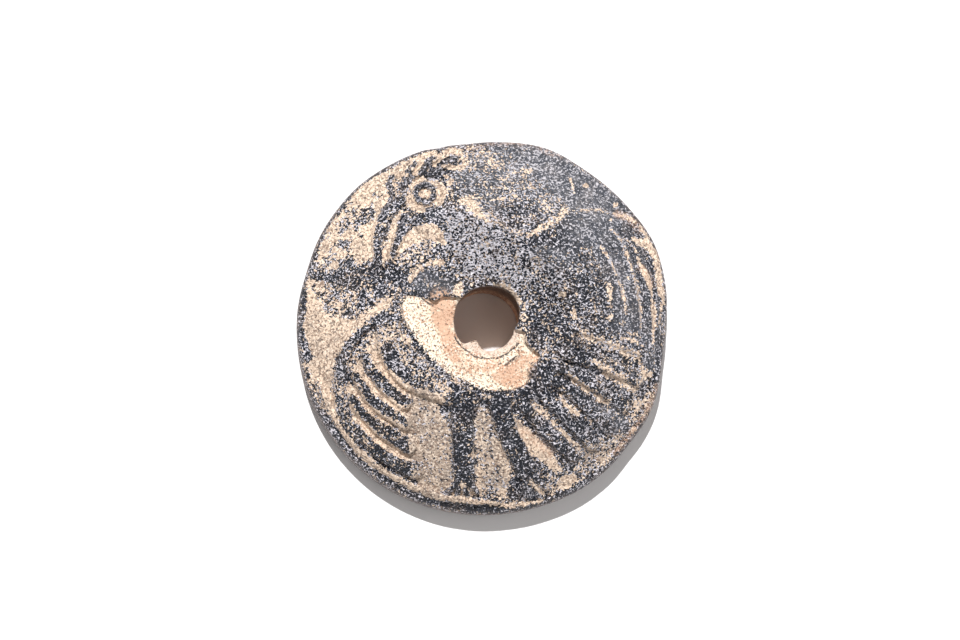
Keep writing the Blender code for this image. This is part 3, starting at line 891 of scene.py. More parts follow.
    def raised_wing(self) -> list[Patch]:
        """The raised wing, dark and hazy between grooves that hold pale sediment.

        Returns:
            The patches, in the order of painting.
        """
        return [
            *cover(0.08, line((0.4, 0.48), (0.6, 0.53), (0.8, 0.44), 0.12, 0.14, 0.1),
                   line((0.3, 0.84), (0.52, 0.74), (0.7, 0.6), 0.16, 0.2, 0.12),
                   line((0.1, 0.97), (0.26, 0.94), (0.42, 0.89), 0.06), soft=0.1),
            *cover(0.14, line((0.62, 0.48), (0.74, 0.3), (0.79, -0.04), 0.12, 0.18, 0.14), soft=0.06),
            *cover(0.03, *self.wing_ridges()),
            *cover(0.72, line((0.215, 0.462), (0.325, 0.53), (0.42, 0.6), 0.024, 0.036, 0.028), soft=0.04),
            *cover(0.36, dab(0.335, 0.485, 0.05), soft=0.05),
            *cover(0.58, line((0.42, 0.605), (0.57, 0.622), (0.7, 0.605), 0.014, 0.012, 0.014)),
            *cover(0.74, line((0.7, 0.605), (0.78, 0.578), (0.835, 0.52), 0.014, 0.016, 0.018), soft=0.024),
            *cover(0.95, line((0.835, 0.52), (0.858, 0.475), (0.884, 0.4), 0.018, 0.024, 0.03),
                   line((0.888, 0.402), (0.921, 0.305), (0.94, 0.175), 0.03, 0.034, 0.026),
                   line((0.955, 0.2), (0.955, 0.12), (0.945, 0.03), 0.012, 0.01, 0.008),
                   line((0.795, 0.47), (0.828, 0.445), (0.86, 0.425), 0.022, 0.034, 0.022),
                   line((0.825, 0.34), (0.855, 0.28), (0.885, 0.205), 0.016, 0.032, 0.026),
                   line((0.888, 0.2), (0.903, 0.09), (0.895, -0.08), 0.018, 0.022, 0.016),
                   dab(0.67, 0.565, 0.018), dab(0.7, 0.652, 0.024), soft=0.022),
            *cover(0.08, line((0.868, 0.35), (0.894, 0.26), (0.908, 0.15), 0.012, 0.016), soft=0.016),
            *cover(0.62, line((0.755, 0.48), (0.795, 0.415), (0.825, 0.345), 0.012, 0.014, 0.016),
                   line((0.605, 0.415), (0.65, 0.35), (0.685, 0.27), 0.014),
                   line((0.7, 0.235), (0.728, 0.16), (0.735, 0.09), 0.016, 0.018, 0.012),
                   line((0.812, 0.16), (0.824, 0.08), (0.818, -0.02), 0.014, 0.018, 0.014), soft=0.022),
            *cover(0.36, line((0.486, 0.37), (0.548, 0.155), (0.575, -0.02), 0.012, 0.016, 0.012)),
            *cover(0.6, line((0.66, 0.52), (0.745, 0.4), (0.82, 0.14), 0.016, 0.018),
                   line((0.64, 0.215), (0.655, 0.1), (0.65, 0.03), 0.03, 0.02, 0.014),
                   line((0.735, 0.09), (0.73, 0.05), (0.72, 0.01), 0.014)),
            *cover(0.62, dab(0.595, 0.24, 0.02), dab(0.642, 0.2, 0.022), dab(0.755, 0.25, 0.02),
                   dab(0.625, 0.09, 0.018), line((0.74, -0.045), (0.79, -0.052), (0.83, -0.06), 0.014),
                   line((0.72, -0.075), (0.78, -0.085), (0.84, -0.1), 0.018), soft=0.025),
            *cover(0.05, line((0.5, 0.19), (0.515, 0.15), (0.52, 0.11), 0.05),
                   line((0.6, 0.19), (0.618, 0.12), (0.622, 0.07), 0.018),
                   line((0.655, 0.3), (0.672, 0.24), (0.68, 0.18), 0.018),
                   line((0.7, 0.06), (0.74, 0.03), (0.78, 0.02), 0.02),
                   line((0.85, 0.1), (0.866, 0.02), (0.868, -0.09), 0.022), soft=0.025),
            *cover(0.48, line((-0.02, 0.565), (0.08, 0.515), (0.19, 0.47), 0.026, 0.022, 0.02), soft=0.04),
            *cover(0.66, line((0.02, 0.66), (0.1, 0.672), (0.18, 0.675), 0.008),
                   line((0.455, 0.8), (0.465, 0.76), (0.475, 0.71), 0.012), dab(0.54, 0.755, 0.03),
                   soft=0.015),
            *cover(0.32, line((0.0, 0.84), (0.14, 0.8), (0.3, 0.68), 0.18, 0.16, 0.12), soft=0.12),
            *cover(0.5, dab(0.04, 0.88, 0.07), dab(0.22, 0.83, 0.05), dab(0.24, 0.75, 0.05),
                   dab(0.31, 0.62, 0.04), dab(0.04, 0.55, 0.04), soft=0.05)
        ]

    def wing_ridges(self) -> list[Stroke]:
        """The dark ridges between the raised wing's grooves."""
        return [ridge.moved(0.0, 0.0, 1.1) for ridge in self.bird.wing_grooves.strokes(between=True)]

    def folded_wing(self) -> list[Patch]:
        """The folded wing, its feathers dark above cream grooves, with dark lines under each feather that are
        partly slip and partly painted shadow.

        Returns:
            The patches, in the order of painting.
        """
        bird = self.bird
        return [
            *cover(0.96, line((-0.9, -0.02), (-0.86, -0.14), (-0.86, -0.32), 0.14, 0.19, 0.1),
                   line((-0.88, -0.3), (-0.84, -0.4), (-0.8, -0.47), 0.09, 0.07, 0.03), soft=0.04),
            *cover(0.93, line((-0.6, -0.1), (-0.62, -0.4), (-0.5, -0.66), 0.2, 0.36, 0.28), soft=0.06),
            *cover(0.95, line((-0.84, -0.08), (-0.77, -0.06), (-0.71, 0.0), 0.08, 0.07, 0.04)),
            *cover(0.36, bird.folded_wing[1], soft=0.05),
            *cover(0.46, line((-0.52, -0.03), (-0.49, -0.1), (-0.455, -0.17), 0.09, 0.12, 0.08),
                   dab(-0.315, -0.255, 0.04), soft=0.04),
            *cover(0.34, line((-0.53, 0.02), (-0.65, -0.07), (-0.752, -0.24), 0.08, 0.11, 0.1),
                   line((-0.76, -0.24), (-0.765, -0.36), (-0.735, -0.47), 0.09, 0.08, 0.07),
                   bird.folded_wing[2], soft=0.05),
            *cover(0.13, line((-0.722, -0.11), (-0.65, -0.04), (-0.55, 0.03), 0.03, 0.034, 0.03),
                   line((-0.775, -0.17), (-0.77, -0.25), (-0.74, -0.29), 0.03, 0.05, 0.04),
                   line((-0.52, -0.12), (-0.5, -0.2), (-0.44, -0.28), 0.05, 0.08, 0.06), soft=0.04),
            *cover(0.24, *self.bird.folded_feathers.strokes()),
            *cover(0.3, line((-0.77, -0.42), (-0.745, -0.5), (-0.685, -0.61), 0.05, 0.07, 0.05)),
            # Dark lines just below each feather: partly slip in the crease, partly painted shadow of the
            # feather's lower edge.
            *cover(0.03,
                   *(feather.moved(-0.024, -0.03, 0.3) for feather in self.bird.folded_feathers.strokes()),
                   soft=0.014),
            *cover(0.62, line((-0.67, -0.61), (-0.63, -0.635), (-0.6, -0.66), 0.03, 0.04, 0.02)),
            *cover(0.94, line((-0.61, -0.13), (-0.57, -0.22), (-0.47, -0.315), 0.02, 0.03, 0.04),
                   line((-0.47, -0.32), (-0.37, -0.375), (-0.25, -0.405), 0.046, 0.066, 0.036)),
            *cover(0.92, line((-0.665, -0.2), (-0.61, -0.32), (-0.42, -0.48), 0.022, 0.03, 0.036),
                   line((-0.69, -0.33), (-0.612, -0.438), (-0.43, -0.562), 0.018, 0.024, 0.026),
                   line((-0.715, -0.425), (-0.622, -0.556), (-0.41, -0.702), 0.02, 0.032, 0.022),
                   dab(-0.752, -0.06, 0.04), dab(-0.636, -0.607, 0.03), dab(-0.512, -0.272, 0.03),
                   soft=0.02),
            *cover(0.5, line((-0.78, -0.5), (-0.72, -0.61), (-0.62, -0.705), 0.016, 0.02, 0.022),
                   line((-0.6, -0.725), (-0.5, -0.795), (-0.38, -0.84), 0.02, 0.026, 0.03))
        ]

    def legs(self) -> list[Patch]:
        """The legs and feet, and the sandy ground round them.

        Returns:
            The patches, in the order of painting.
        """
        bird = self.bird
        return [
            *cover(0.67, line((-0.34, -0.46), (-0.3, -0.6), (-0.28, -0.78), 0.14, 0.22, 0.2), soft=0.06),
            *cover(0.9, line((-0.4, -0.44), (-0.39, -0.56), (-0.36, -0.68), 0.05, 0.04, 0.05),
                   line((-0.38, -0.82), (-0.3, -0.865), (-0.22, -0.905), 0.06, 0.06, 0.03), soft=0.05),
            *cover(0.66, line((-0.03, -0.46), (0.0, -0.62), (0.06, -0.82), 0.06, 0.12), soft=0.06),
            *cover(0.3, line((0.015, -0.56), (0.03, -0.66), (0.065, -0.78), 0.024, 0.03)),
            *cover(0.88, line((0.03, -0.62), (0.07, -0.7), (0.12, -0.8), 0.02, 0.07, 0.05),
                   dab(-0.03, -0.6, 0.03), soft=0.05),
            *cover(0.93, line((0.1, -0.47), (0.18, -0.56), (0.26, -0.65), 0.02, 0.06, 0.08),
                   line((0.26, -0.65), (0.325, -0.7), (0.39, -0.76), 0.07, 0.06, 0.03),
                   line((0.4, -0.845), (0.435, -0.825), (0.47, -0.8), 0.05, 0.06, 0.04), soft=0.035),
            *cover(0.19, *bird.legs, soft=0.035),
            *cover(0.64, line((-0.22, -0.83), (-0.12, -0.86), (-0.01, -0.86), 0.07, 0.09, 0.07), soft=0.05),
            *cover(0.16, line((0.16, -0.83), (0.2, -0.86), (0.27, -0.885), 0.06, 0.08, 0.04),
                   line((0.16, -0.83), (0.2, -0.86), (0.25, -0.885), 0.05), soft=0.04),
            *cover(0.4, line((0.3, -0.79), (0.345, -0.83), (0.36, -0.88), 0.05, 0.07, 0.05), soft=0.04),
            *cover(0.88, line((0.235, -0.825), (0.27, -0.86), (0.31, -0.885), 0.014, 0.02, 0.014),
                   soft=0.02),
            *cover(0.1, line((0.16, -0.815), (0.17, -0.85), (0.17, -0.88), 0.022),
                   line((0.205, -0.815), (0.225, -0.855), (0.245, -0.885), 0.022), soft=0.02),
            *cover(0.1, *bird.toes()[:bird.toe_count], soft=0.018),
            *cover(0.3, dab(-0.211, -0.885, 0.04), dab(-0.374, -0.74, 0.045), dab(0.319, -0.843, 0.045)),
            *cover(0.88, dab(-0.062, -0.689, 0.03),
                   line((-0.04, -0.76), (-0.03, -0.8), (-0.03, -0.83), 0.035), dab(-0.121, -0.848, 0.026),
                   dab(0.093, -0.893, 0.045), dab(-0.32, -0.792, 0.045)),
            *cover(0.88, line((-0.22, -0.905), (-0.1, -0.928), (0.0, -0.94), 0.014, 0.022, 0.028),
                   line((0.0, -0.938), (0.12, -0.948), (0.3, -0.92), 0.03, 0.024, 0.018), soft=0.025)
        ]

    def tail(self) -> list[Patch]:
        """The tail, dark feathers with cream along the grooves between them.

        Returns:
            The patches, in the order of painting.
        """
        return [
            *cover(0.6, line((0.5, -0.055), (0.64, -0.108), (0.81, -0.16), 0.03, 0.045, 0.03), soft=0.05),
            *cover(0.2, *self.bird.tail_feathers.strokes(), soft=0.05),
            *cover(0.4, line((0.68, -0.2), (0.74, -0.23), (0.79, -0.26), 0.05, 0.06, 0.05), soft=0.04),
            *cover(0.8, line((0.555, -0.195), (0.64, -0.245), (0.765, -0.33), 0.02, 0.034, 0.03),
                   line((0.82, -0.195), (0.842, -0.255), (0.81, -0.325), 0.012, 0.018, 0.016),
                   dab(0.72, -0.27, 0.04), dab(0.87, -0.25, 0.04), soft=0.04),
            *cover(0.66, line((0.43, -0.275), (0.53, -0.345), (0.645, -0.415), 0.024, 0.032, 0.026),
                   line((0.385, -0.39), (0.44, -0.445), (0.545, -0.515), 0.018, 0.026, 0.022), soft=0.04),
            *cover(0.9, dab(0.455, -0.295, 0.024), dab(0.515, -0.335, 0.026), dab(0.6, -0.39, 0.024),
                   line((0.4, -0.415), (0.44, -0.445), (0.49, -0.475), 0.016, 0.022, 0.014),
                   dab(0.8, -0.338, 0.04), dab(0.627, -0.265, 0.028), dab(0.737, -0.156, 0.028),
                   dab(0.804, -0.545, 0.024), soft=0.025),
            *cover(0.12, dab(0.525, -0.58, 0.04), dab(0.356, -0.427, 0.03), dab(0.685, -0.368, 0.045),
                   dab(0.57, -0.162, 0.04), dab(0.796, -0.262, 0.03), dab(0.25, -0.48, 0.03)),
            *cover(0.9, line((0.27, -0.45), (0.38, -0.55), (0.515, -0.66), 0.014, 0.017, 0.02), soft=0.02),
            *cover(0.58, line((0.24, -0.425), (0.28, -0.455), (0.33, -0.51), 0.03, 0.034, 0.02)),
            *cover(0.5, line((0.52, -0.67), (0.6, -0.66), (0.7, -0.6), 0.1, 0.13, 0.07),
                   line((0.49, -0.75), (0.58, -0.72), (0.66, -0.68), 0.04, 0.07, 0.05),
                   line((0.76, -0.48), (0.82, -0.42), (0.86, -0.36), 0.06, 0.07, 0.05), soft=0.06),
            *cover(0.1, dab(0.84, -0.35, 0.05), dab(0.74, -0.53, 0.06), dab(0.86, -0.17, 0.06),
                   line((0.5, -0.5), (0.55, -0.56), (0.58, -0.62), 0.04, 0.05, 0.03), soft=0.04)
        ]

    def rim(self) -> list[Patch]:
        """The worn rim: dark lines where slip is left, warm clay where it is gone.

        Returns:
            The patches, in the order of painting.
        """
        return [
            *cover(0.16, line((-0.985, 0.02), (-0.968, 0.1), (-0.958, 0.19), 0.045, 0.03, 0.02),
                   line((-0.935, 0.29), (-0.89, 0.42), (-0.845, 0.52), 0.026, 0.018, 0.01),
                   line((-0.815, 0.565), (-0.75, 0.66), (-0.7, 0.71), 0.03, 0.028, 0.022),
                   line((-0.7, 0.71), (-0.625, 0.775), (-0.56, 0.83), 0.016, 0.024, 0.022),
                   line((-0.58, 0.815), (-0.52, 0.845), (-0.46, 0.88), 0.028, 0.028, 0.016),
                   line((-0.46, 0.88), (-0.38, 0.915), (-0.3, 0.945), 0.014, 0.012, 0.01),
                   line((-0.985, -0.02), (-0.962, -0.1), (-0.93, -0.17), 0.05, 0.05, 0.04), soft=0.024),
            *cover(0.44, line((-0.955, -0.255), (-0.905, -0.33), (-0.835, -0.45), 0.02, 0.03),
                   line((-0.905, -0.3), (-0.89, -0.32), (-0.865, -0.37), 0.03, 0.03, 0.014)),
            *cover(0.26, line((-0.77, -0.47), (-0.705, -0.57), (-0.61, -0.675), 0.034, 0.04, 0.036),
                   line((-0.61, -0.675), (-0.5, -0.765), (-0.37, -0.835), 0.036, 0.04)),
            *cover(0.86, line((-0.815, -0.465), (-0.745, -0.58), (-0.645, -0.688), 0.018, 0.02, 0.024),
                   line((-0.645, -0.688), (-0.53, -0.78), (-0.4, -0.848), 0.024, 0.022, 0.024),
                   line((-0.4, -0.848), (-0.24, -0.902), (-0.08, -0.918), 0.024, 0.026, 0.024), soft=0.02),
            *cover(0.08, line((-0.84, -0.48), (-0.765, -0.598), (-0.665, -0.708), 0.016, 0.018, 0.02),
                   line((-0.665, -0.708), (-0.545, -0.802), (-0.41, -0.874), 0.02, 0.026, 0.028),
                   line((-0.41, -0.876), (-0.225, -0.945), (0.0, -0.973), 0.026, 0.028, 0.026),
                   line((0.0, -0.965), (0.16, -0.975), (0.32, -0.935), 0.036, 0.02),
                   line((0.32, -0.935), (0.5, -0.845), (0.62, -0.765), 0.02, 0.028, 0.03),
                   line((0.62, -0.765), (0.71, -0.7), (0.77, -0.625), 0.03, 0.026, 0.018),
                   line((0.93, -0.04), (0.94, -0.14), (0.93, -0.28), 0.05, 0.05, 0.03),
                   line((0.4, 0.905), (0.6, 0.79), (0.82, 0.56), 0.012, 0.016, 0.014), soft=0.018),
            *cover(0.1, line((-0.905, -0.4), (-0.83, -0.545), (-0.705, -0.7), 0.016),
                   dab(-0.953, -0.103, 0.03), soft=0.02),
            *cover(0.85, dab(-0.953, -0.209, 0.03), soft=0.02),
            *tint(Channel.FLUSH, 0.9, line((0.7, -0.665), (0.755, -0.61), (0.785, -0.56), 0.028),
                  line((0.8, -0.535), (0.875, -0.44), (0.925, -0.32), 0.02, 0.028, 0.024), soft=0.03),
            *tint(Channel.FLUSH, 0.4, line((0.02, 0.99), (0.12, 0.99), (0.21, 0.975), 0.025, 0.035, 0.02),
                  line((-0.1, 0.965), (-0.05, 0.97), (0.0, 0.985), 0.02),
                  line((0.3, 0.945), (0.34, 0.925), (0.4, 0.905), 0.025), soft=0.03),
            *tint(Channel.FLUSH, 0.5, line((0.71, 0.605), (0.78, 0.57), (0.825, 0.52), 0.04),
                  line((0.84, 0.31), (0.87, 0.27), (0.885, 0.22), 0.04),
                  line((0.33, -0.67), (0.28, -0.63), (0.2, -0.57), 0.05), soft=0.03)
        ]

    def tints(self) -> list[Patch]:
        """Dust, a blue-grey veil that is partly painted sheen, scuffs with painted glints, and crackle over
        broad areas.

        Returns:
            The patches, in the order of painting.
        """
        return [
            *tint(Channel.CREAM, 0.28, line((-0.33, -0.46), (-0.3, -0.6), (-0.27, -0.8), 0.2, 0.26, 0.24),
                  line((-0.03, -0.46), (0.0, -0.62), (0.06, -0.82), 0.1, 0.14, 0.12),
                  line((0.52, -0.67), (0.6, -0.66), (0.7, -0.6), 0.12, 0.14, 0.09), soft=0.1),
            *tint(Channel.CREAM, 0.72, line((-0.9, -0.02), (-0.86, -0.14), (-0.82, -0.4), 0.18, 0.2, 0.1),
                  soft=0.1),
            # Over the north-east the veil is painted sheen of the glossy slip under the key light.
            *tint(Channel.HAZE_AND_SHEEN, 0.65, line((0.05, 0.86), (0.36, 0.78), (0.66, 0.58), 0.3, 0.34, 0.22),
                  line((0.5, 0.5), (0.68, 0.36), (0.76, 0.02), 0.2, 0.26, 0.18), soft=0.18),
            *tint(Channel.HAZE_AND_SHEEN, 0.68, line((0.2, 0.93), (0.42, 0.86), (0.66, 0.67), 0.05, 0.11, 0.09),
                  line((0.86, -0.06), (0.89, -0.12), (0.9, -0.2), 0.05, 0.06, 0.05), soft=0.08),
            *tint(Channel.HAZE_AND_SHEEN, 0.55, line((-0.34, 0.22), (-0.28, 0.19), (-0.22, 0.18), 0.14, 0.12, 0.08),
                  line((0.28, 0.36), (0.36, 0.35), (0.42, 0.34), 0.1),
                  line((-0.1, 0.78), (-0.04, 0.72), (0.04, 0.62), 0.16, 0.16, 0.1),
                  line((0.62, -0.44), (0.69, -0.48), (0.72, -0.53), 0.08), soft=0.06),
            *tint(Channel.HAZE_AND_SHEEN, 0.42, *self.wing_ridges(), soft=0.03),
            *tint(Channel.SCUFF_AND_GLINT, 0.22, *self.wing_ridges(),
                  line((0.42, 0.56), (0.54, 0.56), (0.66, 0.52), 0.04), soft=0.03),
            *tint(Channel.SCUFF_AND_GLINT, 0.2, dab(0.46, 0.1, 0.06), dab(0.385, 0.31, 0.06), dab(0.607, 0.483, 0.06),
                  dab(0.165, 0.495, 0.06), soft=0.06),
            # The patches on the neck and breast paint glints: painted highlights on the crackled, glossy
            # slip.
            *tint(Channel.SCUFF_AND_GLINT, 0.98, line((-0.17, 0.52), (-0.04, 0.4), (0.14, 0.3), 0.18, 0.32, 0.28),
                  soft=0.14),
            *tint(Channel.SCUFF_AND_GLINT, 0.66, line((0.14, 0.4), (0.26, 0.34), (0.36, 0.29), 0.1, 0.14, 0.12),
                  soft=0.1),
            *tint(Channel.SCUFF_AND_GLINT, 0.62, line((-0.38, 0.42), (-0.3, 0.34), (-0.22, 0.26), 0.16), soft=0.1),
            *tint(Channel.SCUFF_AND_GLINT, 0.3, dab(-0.25, 0.507, 0.07), dab(-0.228, 0.304, 0.07), soft=0.07),
            *tint(Channel.SCUFF_AND_GLINT, 1.2, line((0.5, -0.045), (0.62, -0.1), (0.8, -0.155), 0.02, 0.034, 0.024),
                  line((0.7, 0.235), (0.728, 0.16), (0.735, 0.09), 0.018),
                  line((0.812, 0.16), (0.824, 0.08), (0.818, -0.02), 0.016),
                  line((0.665, 0.52), (0.735, 0.41), (0.812, 0.16), 0.01),
                  line((0.605, 0.415), (0.65, 0.35), (0.685, 0.27), 0.012), soft=0.026),
            # A thin bright line along the south-west shoulder: partly worn edge, partly a painted edge
            # highlight.
            *tint(Channel.SCUFF_AND_GLINT, 1.1, line((-0.9, -0.38), (-0.79, -0.565), (-0.655, -0.698), 0.012),
                  line((-0.655, -0.698), (-0.52, -0.8), (-0.31, -0.89), 0.012), soft=0.016),
            *tint(Channel.SCUFF_AND_GLINT, 0.22, *self.bird.legs, *self.bird.folded_feathers.strokes(),
                  line((-0.18, -0.37), (0.04, -0.385), (0.3, -0.3), 0.12, 0.12, 0.16),
                  line((0.2, -0.02), (0.34, -0.04), (0.48, -0.12), 0.12, 0.16, 0.14), soft=0.06),
            *tint(Channel.SCUFF_AND_GLINT, 0.25, line((-0.34, 0.215), (-0.27, 0.2), (-0.2, 0.19), 0.12, 0.11, 0.08),
                  line((-0.88, 0.25), (-0.7, 0.22), (-0.5, 0.24), 0.06, 0.1)),
            *tint(Channel.SCUFF_AND_GLINT, 0.15, line((-0.8, -0.48), (-0.62, -0.72), (-0.4, -0.86), 0.05),
                  line((-0.4, -0.86), (0.0, -0.965), (0.4, -0.9), 0.05),
                  line((-0.8, 0.58), (-0.68, 0.72), (-0.5, 0.86), 0.04), soft=0.03),
            *tint(Channel.FLUSH, -0.55,
                  line((-0.42, 0.12), (-0.38, -0.04), (-0.27, -0.21), 0.12, 0.14, 0.12),
                  line((-0.2, -0.26), (-0.06, -0.31), (0.06, -0.32), 0.08, 0.06), soft=0.06),
            *tint(Channel.FLUSH, 1.0,
                  line((-0.25, 0.12), (-0.24, 0.04), (-0.215, -0.08), 0.11, 0.12, 0.06)),
            *tint(Channel.FLUSH, 0.6, line((0.04, -0.28), (0.12, -0.28), (0.2, -0.22), 0.06, 0.12, 0.1),
                  soft=0.06),
            *tint(Channel.FLUSH, 0.34,
                  line((-0.215, -0.11), (-0.13, -0.225), (0.02, -0.245), 0.05, 0.07, 0.05)),
            *tint(Channel.CRACKLE, 1.0, line((-0.18, 0.5), (-0.05, 0.38), (0.12, 0.28), 0.18, 0.34, 0.3),
                  line((0.12, 0.34), (0.26, 0.28), (0.34, 0.12), 0.24, 0.26, 0.2), soft=0.12)
        ]

    def paint(self, face: Face) -> dict[str, np.ndarray]:
        """Lay every patch on the face, in order.

        Args:
            face: The skin's points.

        Returns:
            The channels' values at the points, by attribute name.
        """
        start = {Channel.COVER: 0.25, Channel.CREAM: 0.8, Channel.SCUFF_AND_GLINT: 0.46}
        fields = {channel.value: np.full(face.x.shape, start.get(channel, 0.0)) for channel in Channel}
        areas = (self.breast, self.bill_side, self.head, self.raised_wing, self.folded_wing, self.tail,
                 self.legs, self.rim, self.tints)
        for patch in (patch for area in areas for patch in area()):
            values = fields[patch.channel.value]
            values += (patch.value - values) * face.stroke(patch.stroke, patch.soft)
        values = fields[Channel.COVER.value]
        edge = face.arc(self.edge_share, self.edge_width, self.dark_edge, self.edge_softness)
        values += (self.edge_cover - values) * self.edge_strength * edge
        return fields


@dataclass(frozen=True)
class Skin:
    """The whorl's carved and weathered surface, one closed mesh."""

    body: TurnedBody = TurnedBody()
    bird: BirdRelief = BirdRelief()
    damage: Damage = Damage()
    relief_height: float = 0.6 * MILLIMETRE
    crack_depth: float = 0.12 * MILLIMETRE
    mouth_reach: float = 5.2 * MILLIMETRE
    bore_zone: float = 0.25
    wall_top: float = 0.35 * MILLIMETRE
    darkening_start: float = 2.5 * MILLIMETRE
    darkening_reach: float = 3.5 * MILLIMETRE
    lip_side: float = -0.1
    lip_start: float = 0.06
    lip_rise: float = 0.03
    # How dark the fine cracks and the painted shadow lines are.
    fine_crack_and_shadow: float = 0.9
    bore_roughness: float = 0.7
    crackle_gain: float = 0.6
    cover_loss: float = -0.45
    side_values: tuple[tuple[Channel, float], ...] = (
        (Channel.COVER, 0.28), (Channel.CREAM, -0.10), (Channel.SCUFF_AND_GLINT, 0.25), (Channel.FLUSH, 0.20),
        (Channel.HAZE_AND_SHEEN, 0.75))
    swell_scale: float = 260.0
    grain_scale: float = 2400.0
    grain_depth: float = 0.20 * MILLIMETRE
    wobble: float = 0.0045
    seed: int = 7

    def bend_bore(self, points: np.ndarray) -> None:
        """Move the round bore's wall and mouth to the real, uneven ones.

        Args:
            points: The body's points, changed in place.
        """
        face = Face(points[:, 0], points[:, 1])
        mouth = self.damage.around(self.damage.mouth, face) * MILLIMETRE
        foot = self.damage.around(self.damage.foot, face) * MILLIMETRE
        top = float(self.body.dome_height(self.body.bore_radius))
        share = np.clip(points[:, 2] / top, 0.0, 1.0) ** 1.5
        wanted = foot + (mouth - foot) * share
        plain = self.body.bore_radius
        near = face.share < self.mouth_reach
        distance = np.maximum(face.share, 1e-6)
        reach = self.mouth_reach
        moved = wanted + (distance - plain) * (reach - wanted) / (reach - plain)
        points[:, :2] *= np.where(near, moved / distance, 1.0)[:, None]

    def carve(self, points: np.ndarray) -> dict[str, np.ndarray]:
        """Raise the bird, sink the broken patch and wear the outline.

        Args:
            points: The body's points, changed in place.

        Returns:
            Every field that the finish reads, by attribute name.
        """
        self.bend_bore(points)
        radius = self.body.radius
        damage = self.damage
        face = Face(points[:, 0] / radius, points[:, 1] / radius)
        carved = face.wobbled(self.wobble)
        upper = smooth((points[:, 2] - self.body.side_height) / self.body.shoulder_rise)
        wall = points[:, 2] < self.body.dome_height(face.share * radius) - self.wall_top
        inside = face.share < self.bore_zone
        upper = np.where(wall & inside, 0.0, upper)
        spall = damage.spall(carved, damage.spall_slope)
        crack = damage.ring_crack(face)
        ledge = damage.ledge(face)
        outer = smooth((1.0 - face.share) / (self.body.shoulder_width / radius))
        depth = damage.around(damage.spall_depth, face) * MILLIMETRE
        lift = self.relief_height * self.bird.height(carved) * (1.0 - spall) - depth * spall
        lift -= self.crack_depth * (crack + damage.ledge_depth * ledge)
        points[:, 2] += lift * upper * outer
        reach = damage.outline_shift(face)
        distance = np.hypot(points[:, 0], points[:, 1])
        points[:, :2] *= (1.0 + reach / distance)[:, None]
        fields = Patina(self.bird).paint(carved)
        for channel, value in self.side_values:
            fields[channel.value] = value + (fields[channel.value] - value) * upper
        fields["spall"] = damage.spall(carved, damage.ragged_edge) * upper
        edge = face.stroke(damage.edge_shadow_line, damage.crack_and_shadow_edge)
        second = face.stroke(damage.second_crack, damage.crack_and_shadow_edge)
        # lip is painted shade: a dark line along the broken patch's north edge, where its wall faces away
        # from the key light.
        lip = smooth(3.0 * spall * (1.0 - spall)) * (face.x < self.lip_side)
        lip = smooth((face.y - self.lip_start) / self.lip_rise) * lip
        fine = self.fine_crack_and_shadow
        # The crack attribute holds the real cracks and the painted shadow lines along the broken patch's
        # north edge.
        fields["crack"] = np.maximum.reduce([crack, fine * second, fine * edge, fine * lip]) * upper
        fields["ledge"] = ledge * upper
        fields["bore"] = np.where((upper < 0.5) & inside, 1.0, 0.0)
        # The bore's wall turns darker towards the mouth.
        fields["mouth_darkening"] = fields["bore"] * smooth((points[:, 2] - self.darkening_start) / self.darkening_reach)
        climb = smooth(points[:, 2] / MILLIMETRE - 0.5)
        fields["rough"] = upper + self.bore_roughness * fields["bore"] * climb
        return fields

    def make(self, finish: bpy.types.Material) -> bpy.types.Object:
        """Turn, carve and weather the body.

        Args:
            finish: The material that it gets.

        Returns:
            The whorl as one object.
        """
        mesh = self.body.turn()
        points = np.empty(len(mesh.vertices) * 3)
        mesh.vertices.foreach_get("co", points)
        points = points.reshape(-1, 3)
        fields = self.carve(points)
        mesh.vertices.foreach_set("co", points.ravel())
        for name, values in fields.items():
            layer = mesh.attributes.new(name, "FLOAT", "POINT")
            layer.data.foreach_set("value", values)
        mesh.update()
        carved = place("whorl_carved", mesh)
        result = place("whorl_skin", self.weather(carved, finish))
        bpy.data.objects.remove(carved, do_unlink=True)
        result.data.shade_smooth()
        return result

    def weather(self, carved: bpy.types.Object, finish: bpy.types.Material) -> bpy.types.Mesh:
        """Roughen the carved surface along its normals.

        Args:
            carved: The smooth carved body.
            finish: The material that the result gets.

        Returns:
            The weathered mesh.
        """
        tree = TreeMaker("weathered_surface")
        swell = tree.noise("Swell", self.swell_scale, self.grain_depth, 2.0, self.seed)
        grain = tree.noise("Grain", self.grain_scale, self.grain_depth, 3.0, self.seed + 1, 0.65)
        crackle, cover_share = tree.attribute("crackle"), tree.attribute("cover")
        grain = tree.times(grain, tree.total((crackle, self.crackle_gain), (1.0, 1.0)))
        grain = tree.times(grain, tree.total((1.0, 1.0), (cover_share, self.cover_loss)))
        depth = tree.times(tree.math("ADD", swell, grain), tree.attribute("rough"))
        along = tree.node("ShaderNodeVectorMath", tree.node("GeometryNodeInputNormal").outputs["Normal"])
        along.operation = "SCALE"
        tree.put(along.inputs["Scale"], depth)
        moved = tree.node("GeometryNodeSetPosition", tree.geometry, Offset=along.outputs[0])
        return tree.run(carved, moved.outputs["Geometry"], finish)


